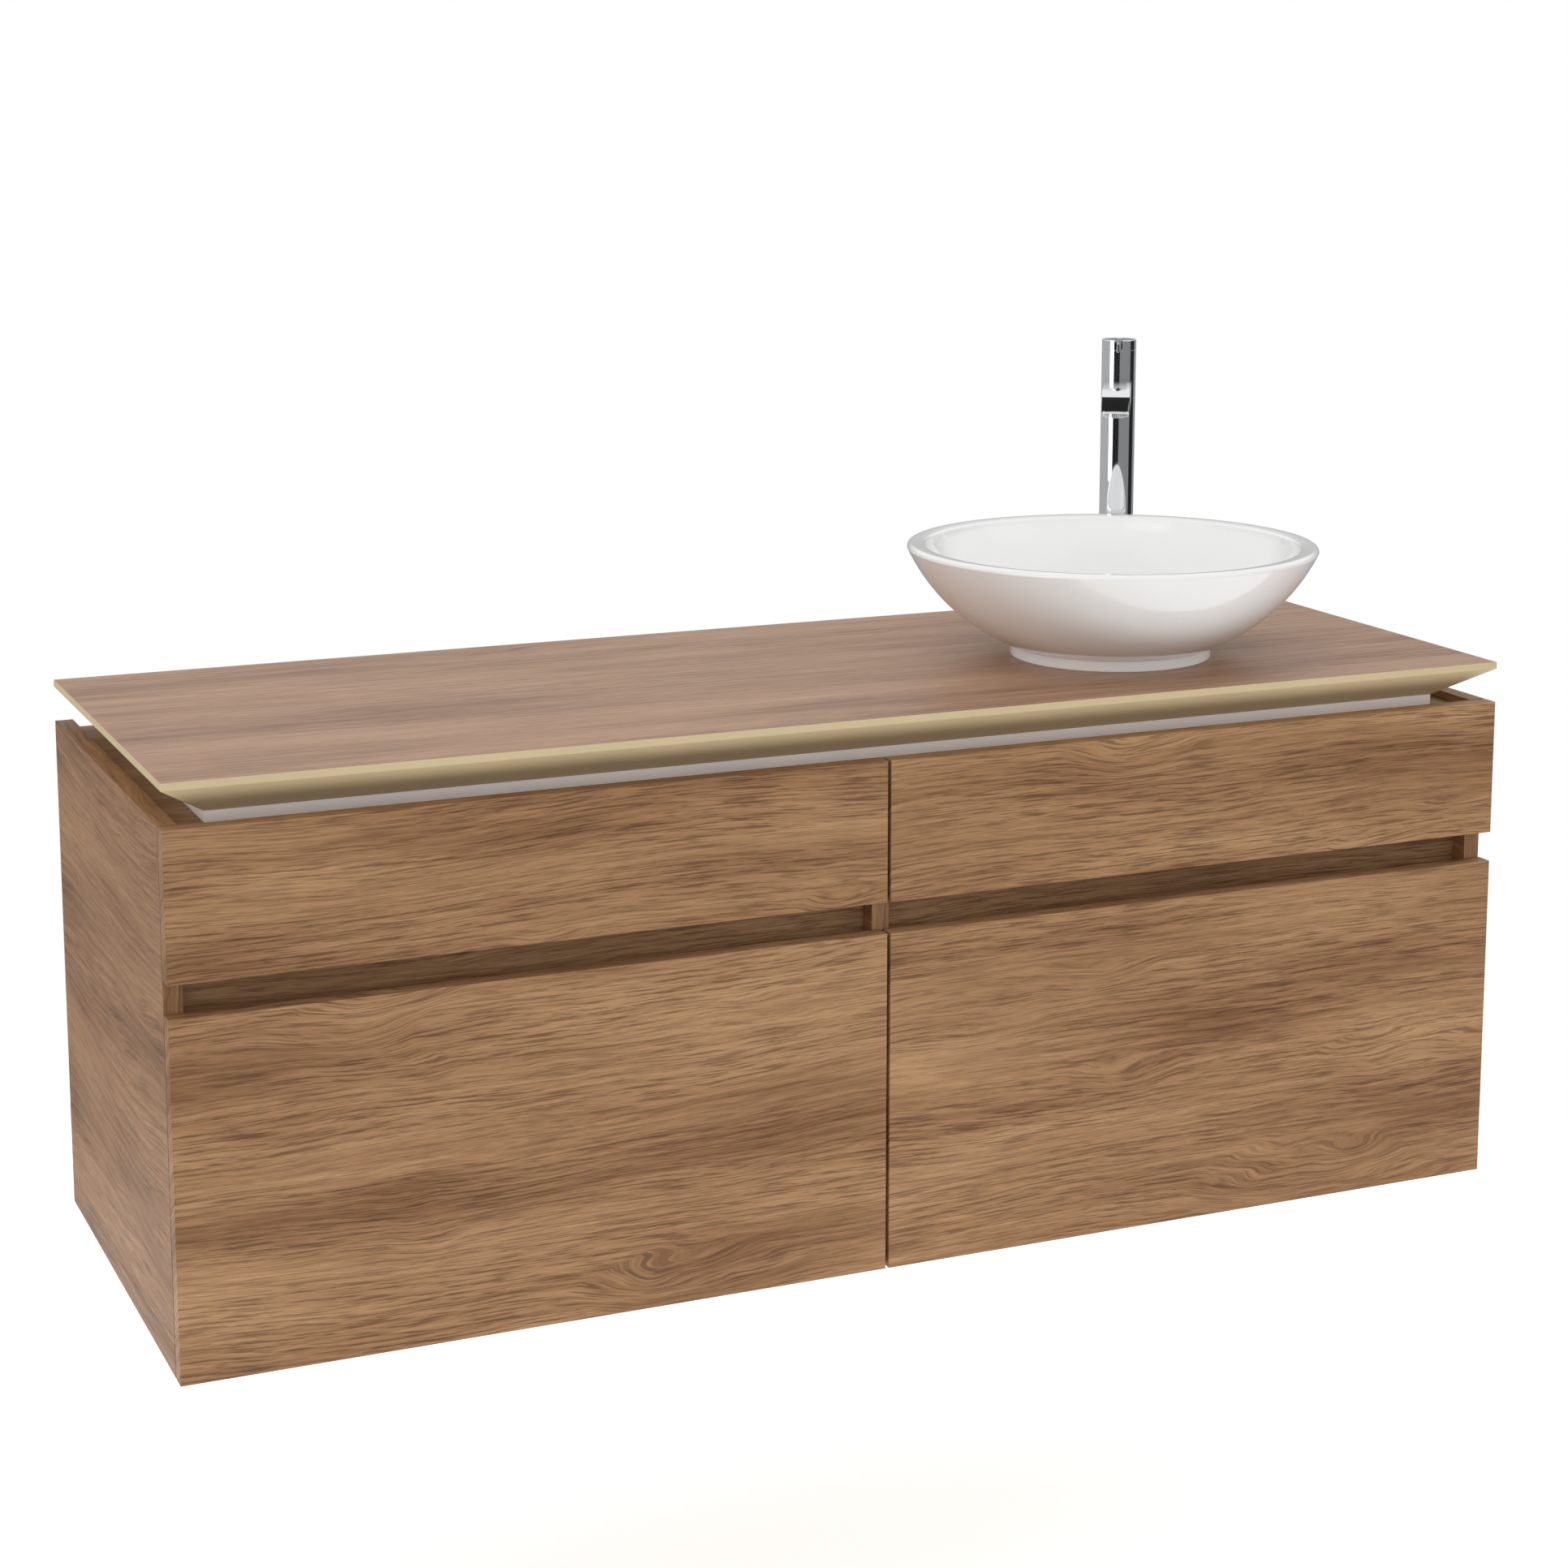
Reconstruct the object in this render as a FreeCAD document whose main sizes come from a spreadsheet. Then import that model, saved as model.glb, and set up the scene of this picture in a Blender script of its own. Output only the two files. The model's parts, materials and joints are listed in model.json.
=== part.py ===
"""A wall-hung bathroom vanity with four drawers, a round bowl standing on its countertop and a mixer tap.

Frame: millimetres, +Z up, +X along the width, the wall is the plane y = 0 and the drawers open towards -Y.
The origin lies on the wall, in the middle of the four holes that the cabinet hangs from.
"""

import FreeCAD, Part
import os
import re
import Sketcher

doc = FreeCAD.newDocument("vanity")
sheet = doc.addObject("Spreadsheet::Sheet", "Sizes")
aliases = []
nodes = []


# ---------------------------------------------------------------- sizes

def size(alias, millimetres):
    """One driving dimension in the sheet."""
    aliases.append(alias)
    cell = f"A{len(aliases)}"
    sheet.set(cell, str(millimetres))
    sheet.setAlias(cell, alias)


# the whole
size("width", 1400)
size("depth", 503)
size("side_height", 512)
size("board", 18)

# drawer fronts
size("front_thickness", 18)
size("front_gap", 2)
size("centre_gap", 3.5)
size("upper_front_height", 140)
size("grip_gap", 31)

# grip rails behind the gap
size("rail_setback", 20)
size("rail_thickness", 16)
size("rail_cover", 11.5)

# sunk top board, white spacer and bevelled countertop
size("top_board_drop", 8)
size("spacer_inset", 48)
size("spacer_height", 11)
size("bevel_height", 32.4)
size("edge_height", 7)
size("laminate", 0.8)
size("laminate_inset", 0.6)

# back and hanging
size("back_thickness", 5)
size("back_setback", 8)
size("plumbing_width", 300)
size("plumbing_height", 150)
size("hanging_thickness", 16)
size("hanging_height", 96)
size("hanger_inset", 82)
size("hanger_pitch", 48)
size("hanger_hole", 4.5)
size("bracket_width", 60)
size("bracket_height", 84)
size("bracket_thickness", 3)

# drawers and runners
size("drawer_back_gap", 35)
size("drawer_clearance", 6)
size("drawer_side", 12)
size("drawer_panel", 12)
size("back_drop", 6)
size("upper_side_height", 72)
size("trap_clearance", 46)
size("runner_space", 13)
size("runner_back_gap", 41)
size("runner_height", 40)
size("runner_wall", 1.4)
size("runner_play", 1)
size("runner_rise", 22)
size("slot_radius", 56)
size("guard_thickness", 3)

# bowl
size("basin_inset", 347)
size("basin_setback", 300)
size("basin_height", 118.6)
size("rim_radius", 215.5)
size("rim_width", 20)
size("rim_round", 5)
size("rim_edge", 3.6)
size("rim_fall", 1.2)
size("outer_bulge", 14.2)
size("inner_bulge", 20.9)
size("floor_radius", 75)
size("floor_height", 26)
size("foot_radius", 105.5)
size("foot_width", 14)
size("foot_height", 11.5)
size("underside", 8)
size("drain_seat", 19.6)
size("drain_seat_play", 1)
size("drain_play", 1.5)
size("seal_radius", 45)

# waste
size("waste_radius", 21.5)
size("waste_wall", 3)
size("waste_flange", 32)
size("flange_thickness", 2.6)
size("hub_radius", 6)
size("hub_height", 6)
size("spoke", 3)
size("stem_radius", 3)
size("stem_play", 0.05)
size("cover_radius", 30)
size("cover_rise", 4)
size("cover_dome", 6)
size("nut_wall", 11.5)
size("nut_height", 8)
size("waste_tail", 22)
size("worktop_clearance", 2.5)

# trap
size("pipe_radius", 16)
size("pipe_wall", 1.5)
size("slip_wall", 4.5)
size("slip_height", 20)
size("trap_drop", 67)
size("trap_neck_wall", 5)
size("trap_neck_height", 12)
size("trap_room", 16)
size("stub_wall", 2.5)
size("head_room", 1.5)
size("cup_step", 2)
size("cup_height", 75)
size("cup_wall", 2.5)
size("outlet_reach", 45)
size("outlet_end", 3)
size("outlet_free", 30)
size("bead", 2)

# tap
size("tap_gap", 5.8)
size("tap_turn", 30.5)
size("tap_radius", 19)
size("tap_height", 312)
size("cap_floor", 1.8)
size("cap_seam", 0.3)
size("cap_round", 0.8)
size("tap_wall", 3.95)
size("bore_depth", 42)
size("neck_height", 8.5)
size("neck_play", 0.05)
size("cartridge_play", 0.15)
size("spout_reach", 155)
size("spout_width", 30)
size("spout_top", 269.2)
size("spout_depth", 24.2)
size("spout_chamfer", 6)
size("spout_round", 3)
size("aerator_radius", 14.2)
size("aerator_height", 4.6)
size("aerator_stem", 11)
size("aerator_stem_height", 6)
size("aerator_setback", 15.5)
size("lever_reach", 61)
size("lever_height", 9.6)
size("lever_width", 7)
size("lever_tip", 2.4)
size("lever_taper_start", 14)
size("slot_play", 0.4)
size("pin_setback", 6)
size("pin_radius", 1.5)
size("pin_play", 0.05)
size("pin_hold", 4.3)
size("shank_radius", 14)
size("shank_peg", 10)
size("shank_peg_height", 15)
size("shank_tail", 16)
size("shank_clearance", 3.5)
size("inlet_radius", 4.5)
size("inlet_depth", 12)
size("inlet_spacing", 13)
doc.recompute()

# ---------------------------------------------------------------- places worked out from the sizes

LEFT = "(-width / 2)"
RIGHT = "(width / 2)"
FRONT = "(-depth)"
WALL = "0"
CARCASS_FRONT = f"({FRONT} + front_thickness + front_gap)"
SIDE_TOP = "(hanging_height / 2 + board + top_board_drop)"
FLOOR = f"({SIDE_TOP} - side_height)"
BOARD_TOP = f"({SIDE_TOP} - top_board_drop)"
BOARD_UNDER = f"({BOARD_TOP} - board)"
SPACER_TOP = f"({BOARD_TOP} + spacer_height)"
EDGE_UNDER = f"({SPACER_TOP} + bevel_height)"
TOP = f"({EDGE_UNDER} + edge_height)"
GRIP_TOP = f"({SIDE_TOP} - upper_front_height)"
GRIP_UNDER = f"({GRIP_TOP} - grip_gap)"
HANGING_UNDER = f"({BOARD_UNDER} - hanging_height)"
BASIN_X = "(width / 2 - basin_inset)"
BASIN_Y = "(-basin_setback)"
TAP_DISTANCE = "(rim_radius + tap_gap + tap_radius)"
TAP_X = f"({BASIN_X} + {TAP_DISTANCE} * sin(tap_turn))"
TAP_Y = f"({BASIN_Y} + {TAP_DISTANCE} * cos(tap_turn))"
WORKTOP = f"({TOP} - {BOARD_UNDER})"
WASTE_END = f"({BOARD_UNDER} - waste_tail)"
TRAP_TOP = f"({WASTE_END} - trap_drop)"
HEAD_TOP = f"({TRAP_TOP} - trap_neck_height)"
HEAD_UNDER = f"({HEAD_TOP} - 2 * (pipe_radius + stub_wall + head_room))"
CUP_UNDER = f"({HEAD_UNDER} - cup_height)"
OUTLET = f"(({HEAD_TOP} + {HEAD_UNDER}) / 2)"
TRAP_RADIUS = "(pipe_radius + trap_room)"

# ---------------------------------------------------------------- helpers


def value(expression):
    """The number that an expression on the sheet gives now."""
    return float(sheet.evalExpression(expression))


def bind(thing, prop, expression):
    """Tie a property to the sheet."""
    tied = re.sub(r"[a-z_]+", lambda word: f"Sizes.{word[0]}" if word[0] in aliases else word[0], expression)
    thing.setExpression(prop, tied)


def place(thing, x, y, z):
    """Tie an object's position to the sheet."""
    bind(thing, "Placement.Base.x", x)
    bind(thing, "Placement.Base.y", y)
    bind(thing, "Placement.Base.z", z)
    return thing


def node(thing, name):
    """Name a finished sub-part."""
    thing.Label = name
    nodes.append(thing)
    return thing


def block(name, low, high):
    """A board or bar between two opposite corners."""
    box = doc.addObject("Part::Box", name)
    for prop, start, end in zip(("Length", "Width", "Height"), low, high):
        bind(box, prop, f"({end}) - ({start})")
    return place(box, *low)


def rod(name, axis, start, length, radius):
    """A cylinder from a start point along an axis."""
    cylinder = doc.addObject("Part::Cylinder", name)
    bind(cylinder, "Radius", radius)
    bind(cylinder, "Height", length)
    turns = {
        "x": FreeCAD.Rotation(FreeCAD.Vector(0, 1, 0), 90),
        "y": FreeCAD.Rotation(FreeCAD.Vector(1, 0, 0), -90),
        "z": FreeCAD.Rotation(),
    }
    cylinder.Placement = FreeCAD.Placement(FreeCAD.Vector(), turns[axis])
    return place(cylinder, *start)


def fused(name, pieces):
    """Several shapes grown into one."""
    fuse = doc.addObject("Part::MultiFuse", name)
    fuse.Shapes = pieces
    return fuse


def cut(name, base, tools):
    """A base with one or more tools taken out of it."""
    result = doc.addObject("Part::Cut", name)
    result.Base = base
    result.Tool = tools[0] if len(tools) == 1 else fused(f"{name}_tools", tools)
    return result


def group(name, pieces):
    """Identical pieces that share a node."""
    together = doc.addObject("Part::Compound", name)
    together.Links = pieces
    return together


def body(name):
    """An empty PartDesign body."""
    return doc.addObject("PartDesign::Body", name)


def sketch_on(owner, role, height="0"):
    """An empty sketch on one of a body's origin planes, or at a height off it."""
    sketch = owner.newObject("Sketcher::SketchObject", f"{owner.Name}_outline")
    plane = next(feature for feature in owner.Origin.OriginFeatures if feature.Role == role)
    sketch.AttachmentSupport = [(plane, "")]
    sketch.MapMode = "FlatFace"
    bind(sketch, "AttachmentOffset.Base.z", height)
    return sketch


def fix(sketch, kind, places, expression):
    """Add a constraint whose value is tied to the sheet."""
    number = sketch.addConstraint(Sketcher.Constraint(kind, *places, value(expression)))
    bind(sketch, f"Constraints[{number}]", expression)


def circle(owner, role, radius, u="0", v="0", height="0"):
    """A sketch of one circle."""
    sketch = sketch_on(owner, role, height)
    centre = FreeCAD.Vector(value(u), value(v), 0)
    sketch.addGeometry(Part.Circle(centre, FreeCAD.Vector(0, 0, 1), value(radius)), False)
    fix(sketch, "DistanceX", (-1, 1, 0, 3), u)
    fix(sketch, "DistanceY", (-1, 1, 0, 3), v)
    fix(sketch, "Radius", (0,), radius)
    return sketch


def outline(owner, role, corners, height="0"):
    """A closed sketch of lines and arcs.

    A corner is (u, v), or (u, v, radius, side) where an arc leads on to the next corner: side 1 puts the
    arc's centre on the left of the way there, and side -1 on the right.
    """
    sketch = sketch_on(owner, role, height)
    points = [FreeCAD.Vector(value(corner[0]), value(corner[1]), 0) for corner in corners]
    ends = []
    for index, corner in enumerate(corners):
        here = points[index]
        there = points[(index + 1) % len(points)]
        if len(corner) == 2:
            sketch.addGeometry(Part.LineSegment(here, there), False)
            ends.append((1, 2))
            continue
        radius = value(corner[2])
        side = corner[3]
        along = there - here
        half = along.Length / 2
        across = FreeCAD.Vector(-along.y, along.x, 0).normalize() * side
        centre = (here + there) / 2 + across * (radius ** 2 - half ** 2) ** 0.5
        first, last = (here, there) if side > 0 else (there, here)
        whole = Part.Circle(centre, FreeCAD.Vector(0, 0, 1), radius)
        arc = Part.ArcOfCircle(whole, whole.parameter(first), whole.parameter(last))
        sketch.addGeometry(arc, False)
        ends.append((1, 2) if side > 0 else (2, 1))
    for index, corner in enumerate(corners):
        following = (index + 1) % len(corners)
        joined = Sketcher.Constraint("Coincident", index, ends[index][1], following, ends[following][0])
        sketch.addConstraint(joined)
        start = (-1, 1, index, ends[index][0])
        fix(sketch, "DistanceX", start, corner[0])
        fix(sketch, "DistanceY", start, corner[1])
        if len(corner) == 4:
            fix(sketch, "Radius", (index,), corner[2])
    return sketch


def revolve(owner, corners):
    """Turn an outline of (radius, height) corners about the body's own Z axis."""
    sketch = outline(owner, "XZ_Plane", corners)
    turned = owner.newObject("PartDesign::Revolution", f"{owner.Name}_turned")
    turned.Profile = sketch
    turned.ReferenceAxis = (sketch, ["V_Axis"])
    turned.Angle = 360
    return turned


def extrude(owner, kind, role, corners, length, backwards=False, symmetric=False, height="0"):
    """Pad or pocket an outline."""
    sketch = outline(owner, role, corners, height)
    feature = owner.newObject(f"PartDesign::{kind}", f"{owner.Name}_{kind.lower()}")
    feature.Profile = sketch
    bind(feature, "Length", length)
    feature.Reversed = backwards
    if symmetric:
        feature.SideType = "Symmetric"
    return feature


def hollow(owner, sketch, depth, upwards=False):
    """Take a sketch's outline out of its body, downwards unless told."""
    pocket = owner.newObject("PartDesign::Pocket", f"{owner.Name}_hollow")
    pocket.Profile = sketch
    pocket.Reversed = upwards
    bind(pocket, "Length", depth)
    return pocket


def rectangle(low_u, low_v, high_u, high_v):
    """Four corners of a rectangle."""
    return [(low_u, low_v), (high_u, low_v), (high_u, high_v), (low_u, high_v)]


def turned_part(name, corners, x, y, z):
    """A piece made on a lathe, standing upright."""
    piece = body(name)
    revolve(piece, corners)
    return place(piece, x, y, z)


def on_tap(piece):
    """Stand a piece on the tap's axis, turned so that its -Y side faces the bowl."""
    piece.Placement = FreeCAD.Placement(FreeCAD.Vector(), FreeCAD.Rotation(FreeCAD.Vector(0, 0, 1), -1))
    place(piece, TAP_X, TAP_Y, TOP)
    bind(piece, "Placement.Rotation.Angle", "-tap_turn")
    return piece


# ---------------------------------------------------------------- cabinet

BAYS = {
    "left": (f"({LEFT} + board)", "(-board / 2)"),
    "right": ("(board / 2)", f"({RIGHT} - board)"),
}

waste_hole_radius = "waste_radius + worktop_clearance"
shank_hole_radius = "shank_radius + shank_clearance"
waste_hole = rod("waste_hole", "z", (BASIN_X, BASIN_Y, BOARD_UNDER), WORKTOP, waste_hole_radius)
shank_hole = rod("shank_hole", "z", (TAP_X, TAP_Y, BOARD_UNDER), WORKTOP, shank_hole_radius)
worktop_holes = [waste_hole, shank_hole]


def carcass():
    """Side panels, partition, bottoms, sunk top board, grip rails and back panels."""
    left = block("side_left", (LEFT, CARCASS_FRONT, FLOOR), (BAYS["left"][0], WALL, SIDE_TOP))
    node(left, "side_panel_left")
    right = block("side_right", (BAYS["right"][1], CARCASS_FRONT, FLOOR), (RIGHT, WALL, SIDE_TOP))
    node(right, "side_panel_right")
    middle = (BAYS["left"][1], CARCASS_FRONT, FLOOR), (BAYS["right"][0], WALL, BOARD_UNDER)
    node(block("middle", *middle), "centre_partition")
    top = block("top", (BAYS["left"][0], CARCASS_FRONT, BOARD_UNDER), (BAYS["right"][1], WALL, BOARD_TOP))
    node(cut("top_drilled", top, worktop_holes), "top_board")
    for side, (low, high) in BAYS.items():
        floor = (low, CARCASS_FRONT, FLOOR), (high, WALL, f"{FLOOR} + board")
        node(block(f"floor_{side}", *floor), f"bottom_panel_{side}")
        rail_front = f"({CARCASS_FRONT} + rail_setback)"
        rail = (
            (low, rail_front, f"{GRIP_UNDER} - rail_cover"),
            (high, f"{rail_front} + rail_thickness", f"{GRIP_TOP} + rail_cover"),
        )
        node(block(f"rail_{side}", *rail), f"grip_rail_{side}")
        back_front = "(-back_setback - back_thickness)"
        back = block(
            f"back_{side}",
            (low, back_front, f"{FLOOR} + board"),
            (high, "-back_setback", HANGING_UNDER),
        )
        if side == "right":
            notch_floor = f"{HANGING_UNDER} - plumbing_height"
            notch = block(
                "plumbing_notch",
                (f"{BASIN_X} - plumbing_width / 2", f"{back_front} - 1", notch_floor),
                (f"{BASIN_X} + plumbing_width / 2", WALL, f"{HANGING_UNDER} + 1"),
            )
            back = cut("back_notched", back, [notch])
        node(back, f"back_panel_{side}")


def hanging():
    """The two wooden rails that are screwed to the wall, each with a steel plate round its pair of holes."""
    plates = []
    for side, sign in (("left", "-1"), ("right", "1")):
        low, high = BAYS[side]
        centre = f"({sign} * (width / 2 - board - hanger_inset))"
        holes = []
        for level in ("-1", "1"):
            start = (centre, "-hanging_thickness - bracket_thickness - 1", f"{level} * hanger_pitch / 2")
            reach = "hanging_thickness + bracket_thickness + 2"
            holes.append(rod(f"hanger_hole_{side}", "y", start, reach, "hanger_hole"))
        rail = block(f"hanging_{side}", (low, "-hanging_thickness", HANGING_UNDER), (high, WALL, BOARD_UNDER))
        node(cut(f"hanging_drilled_{side}", rail, holes), f"hanging_rail_{side}")
        plate_front = "-hanging_thickness - bracket_thickness"
        plate = block(
            f"plate_{side}",
            (f"{centre} - bracket_width / 2", plate_front, "-bracket_height / 2"),
            (f"{centre} + bracket_width / 2", "-hanging_thickness", "bracket_height / 2"),
        )
        plates.append(cut(f"plate_drilled_{side}", plate, holes))
    node(group("plates", plates), "wall_brackets")


def worktop():
    """White spacer board, bevelled countertop and the wood laminate let into its top."""
    inner_left = f"({LEFT} + spacer_inset)"
    inner_right = f"({RIGHT} - spacer_inset)"
    inner_front = f"({FRONT} + spacer_inset)"
    spacer = block("spacer", (inner_left, inner_front, BOARD_TOP), (inner_right, WALL, SPACER_TOP))
    node(cut("spacer_drilled", spacer, worktop_holes), "spacer_board")

    bevel = doc.addObject("Part::Wedge", "bevel")
    for prop, expression in (
        ("Xmin", inner_left),
        ("Xmax", inner_right),
        ("X2min", LEFT),
        ("X2max", RIGHT),
        ("Zmin", WALL),
        ("Zmax", "depth - spacer_inset"),
        ("Z2min", WALL),
        ("Z2max", "depth"),
        ("Ymax", "bevel_height"),
    ):
        bind(bevel, prop, expression)
    bevel.Ymin = 0
    bevel.Placement = FreeCAD.Placement(FreeCAD.Vector(), FreeCAD.Rotation(FreeCAD.Vector(1, 0, 0), 90))
    place(bevel, "0", WALL, SPACER_TOP)
    edge = block("edge", (LEFT, FRONT, EDGE_UNDER), (RIGHT, WALL, TOP))
    sheet_low = (f"{LEFT} + laminate_inset", f"{FRONT} + laminate_inset", f"{TOP} - laminate")
    sheet_high = (f"{RIGHT} - laminate_inset", f"{WALL} - laminate_inset", TOP)
    core = fused("core", [bevel, edge])
    node(cut("core_cut", core, worktop_holes + [block("bed", sheet_low, sheet_high)]), "countertop_core")
    skin = block("skin", sheet_low, sheet_high)
    node(cut("skin_drilled", skin, worktop_holes), "countertop_laminate")


# ---------------------------------------------------------------- drawers

LOWER_BOX_UNDER = f"({FLOOR} + board + drawer_clearance)"
LOWER_BOX_HEIGHT = f"({CUP_UNDER} - trap_clearance - {LOWER_BOX_UNDER})"
LEVELS = {
    "upper": (f"({GRIP_TOP} + rail_cover + drawer_clearance)", "upper_side_height", GRIP_TOP, SIDE_TOP),
    "lower": (LOWER_BOX_UNDER, LOWER_BOX_HEIGHT, FLOOR, GRIP_UNDER),
}
BOX_FRONT = f"({FRONT} + front_thickness)"
DRAWER_BACK = "(-drawer_back_gap)"
RUNNER_FRONT = f"({CARCASS_FRONT} + front_gap)"
RUNNER_BACK = "(-runner_back_gap)"
STEP = "(runner_wall + runner_play)"


def channel(name, wall, inward, near, level, half):
    """One C-shaped steel runner member, open towards the drawer."""
    far = "(runner_space - 2 * runner_play)"
    piece = body(name)
    corners = [
        (f"{inward} * {near}", f"-{half}"),
        (f"{inward} * {far}", f"-{half}"),
        (f"{inward} * {far}", f"-{half} + runner_wall"),
        (f"{inward} * ({near} + runner_wall)", f"-{half} + runner_wall"),
        (f"{inward} * ({near} + runner_wall)", f"{half} - runner_wall"),
        (f"{inward} * {far}", f"{half} - runner_wall"),
        (f"{inward} * {far}", half),
        (f"{inward} * {near}", half),
    ]
    extrude(piece, "Pad", "XZ_Plane", corners, f"{RUNNER_BACK} - {RUNNER_FRONT}")
    return place(piece, wall, RUNNER_BACK, level)


def drawer_side(name, wall, inward, level, height):
    """A steel drawer side whose outer face carries the inner runner member in the same rolling."""
    tip = f"(2 * {STEP})"
    half = f"(runner_height / 2 - 2 * {STEP})"
    piece = body(name)
    corners = [
        (f"{inward} * (runner_space + drawer_side)", "0"),
        (f"{inward} * (runner_space + drawer_side)", height),
        (f"{inward} * runner_space", height),
        (f"{inward} * runner_space", f"runner_rise + {half}"),
        (f"{inward} * {tip}", f"runner_rise + {half}"),
        (f"{inward} * {tip}", f"runner_rise + {half} - runner_wall"),
        (f"{inward} * runner_space", f"runner_rise + {half} - runner_wall"),
        (f"{inward} * runner_space", f"runner_rise - {half} + runner_wall"),
        (f"{inward} * {tip}", f"runner_rise - {half} + runner_wall"),
        (f"{inward} * {tip}", f"runner_rise - {half}"),
        (f"{inward} * runner_space", f"runner_rise - {half}"),
        (f"{inward} * runner_space", "0"),
    ]
    extrude(piece, "Pad", "XZ_Plane", corners, f"{DRAWER_BACK} - {BOX_FRONT}")
    return place(piece, wall, DRAWER_BACK, level)


def slot_round_waste(name, radius, low, high):
    """A U-shaped slot round the waste pipe, open at the drawer's back."""
    end = rod(f"{name}_end", "z", (BASIN_X, BASIN_Y, low), f"{high} - {low}", radius)
    run = block(
        f"{name}_run",
        (f"{BASIN_X} - {radius}", BASIN_Y, low),
        (f"{BASIN_X} + {radius}", f"{DRAWER_BACK} + 1", high),
    )
    return fused(name, [end, run])


def drawer(level, side, fixed):
    """One drawer with its front, steel sides, bottom and back, and the runner members that carry it."""
    under, height, front_low, front_high = LEVELS[level]
    low, high = BAYS[side]
    name = f"{level}_{side}_drawer"
    outer, inner = (LEFT, "-centre_gap / 2") if side == "left" else ("centre_gap / 2", RIGHT)
    front = (outer, FRONT, front_low), (inner, BOX_FRONT, front_high)
    node(block(f"{name}_f", *front), f"{name}_front")
    moving = []
    for hand, wall, inward in (("left", low, "1"), ("right", high, "-1")):
        runner = f"({under} + runner_rise)"
        fixed.append(channel(f"{name}_c_{hand}", wall, inward, "0", runner, "(runner_height / 2)"))
        half = f"(runner_height / 2 - {STEP})"
        moving.append(channel(f"{name}_m_{hand}", wall, inward, STEP, runner, half))
        node(drawer_side(f"{name}_s_{hand}", wall, inward, under, height), f"{name}_side_{hand}")
    node(group(f"{name}_m", moving), f"{name}_runners")

    inner_low = f"({low} + runner_space + drawer_side)"
    inner_high = f"({high} - runner_space - drawer_side)"
    floor_top = f"({under} + drawer_panel)"
    back_top = f"({under} + {height} - back_drop)"
    bottom = block(f"{name}_b", (inner_low, BOX_FRONT, under), (inner_high, DRAWER_BACK, floor_top))
    back_front = f"{DRAWER_BACK} - drawer_panel"
    back = block(f"{name}_k", (inner_low, back_front, floor_top), (inner_high, DRAWER_BACK, back_top))
    if (level, side) == ("upper", "right"):
        slot = slot_round_waste("slot", "slot_radius", f"({under} - 1)", floor_top)
        bottom = cut("bottom_slotted", bottom, [slot])
        outer_slot = slot_round_waste("guard_outer", "(slot_radius + guard_thickness)", floor_top, back_top)
        back = cut("back_split", back, [outer_slot])
        guard_low, guard_high = f"({floor_top} - 1)", f"({back_top} + 1)"
        guard_inner = slot_round_waste("guard_inner", "slot_radius", guard_low, guard_high)
        trim = block(
            "guard_trim",
            (f"{BASIN_X} - slot_radius - 2 * guard_thickness", DRAWER_BACK, floor_top),
            (f"{BASIN_X} + slot_radius + 2 * guard_thickness", f"{DRAWER_BACK} + 3", back_top),
        )
        node(cut("guard", outer_slot, [guard_inner, trim]), f"{name}_pipe_guard")
    node(bottom, f"{name}_bottom")
    node(back, f"{name}_back")


# ---------------------------------------------------------------- bowl and waste

def arc_radius(run, rise, bulge):
    """Radius of an arc that spans a run and a rise and stands out from their chord by a bulge."""
    return f"(((({run})^2 + ({rise})^2) / 4 + {bulge}^2) / (2 * {bulge}))"


def bowl():
    """Round bowl on a foot ring, with a seal ring round the drain."""
    rim_inner = "(rim_radius - rim_width)"
    lip = "(basin_height - rim_fall)"
    foot_inner = "(foot_radius - foot_width)"
    drain_hole = "(waste_radius + drain_play)"
    seat_radius = "(waste_flange + drain_seat_play)"
    outer_rise = "basin_height - rim_round - foot_height"
    outer_arc = arc_radius("rim_radius - foot_radius", outer_rise, "outer_bulge")
    inner_arc = arc_radius(f"{rim_inner} - floor_radius", f"{lip} - rim_edge - floor_height", "inner_bulge")
    corners = [
        (drain_hole, "underside"),
        (foot_inner, "underside"),
        (foot_inner, "0"),
        ("foot_radius", "0"),
        ("foot_radius", "foot_height", outer_arc, 1),
        ("rim_radius", "basin_height - rim_round", "rim_round", 1),
        ("rim_radius - rim_round", "basin_height"),
        (f"{rim_inner} + rim_edge", lip, "rim_edge", 1),
        (rim_inner, f"{lip} - rim_edge", inner_arc, -1),
        ("floor_radius", "floor_height"),
        (seat_radius, "drain_seat + flange_thickness"),
        (seat_radius, "drain_seat"),
        (drain_hole, "drain_seat"),
    ]
    node(turned_part("bowl", corners, BASIN_X, BASIN_Y, TOP), "basin")
    ring = rectangle("waste_radius + worktop_clearance", "0", "seal_radius", "underside")
    node(turned_part("seal", ring, BASIN_X, BASIN_Y, TOP), "basin_seal")


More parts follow.
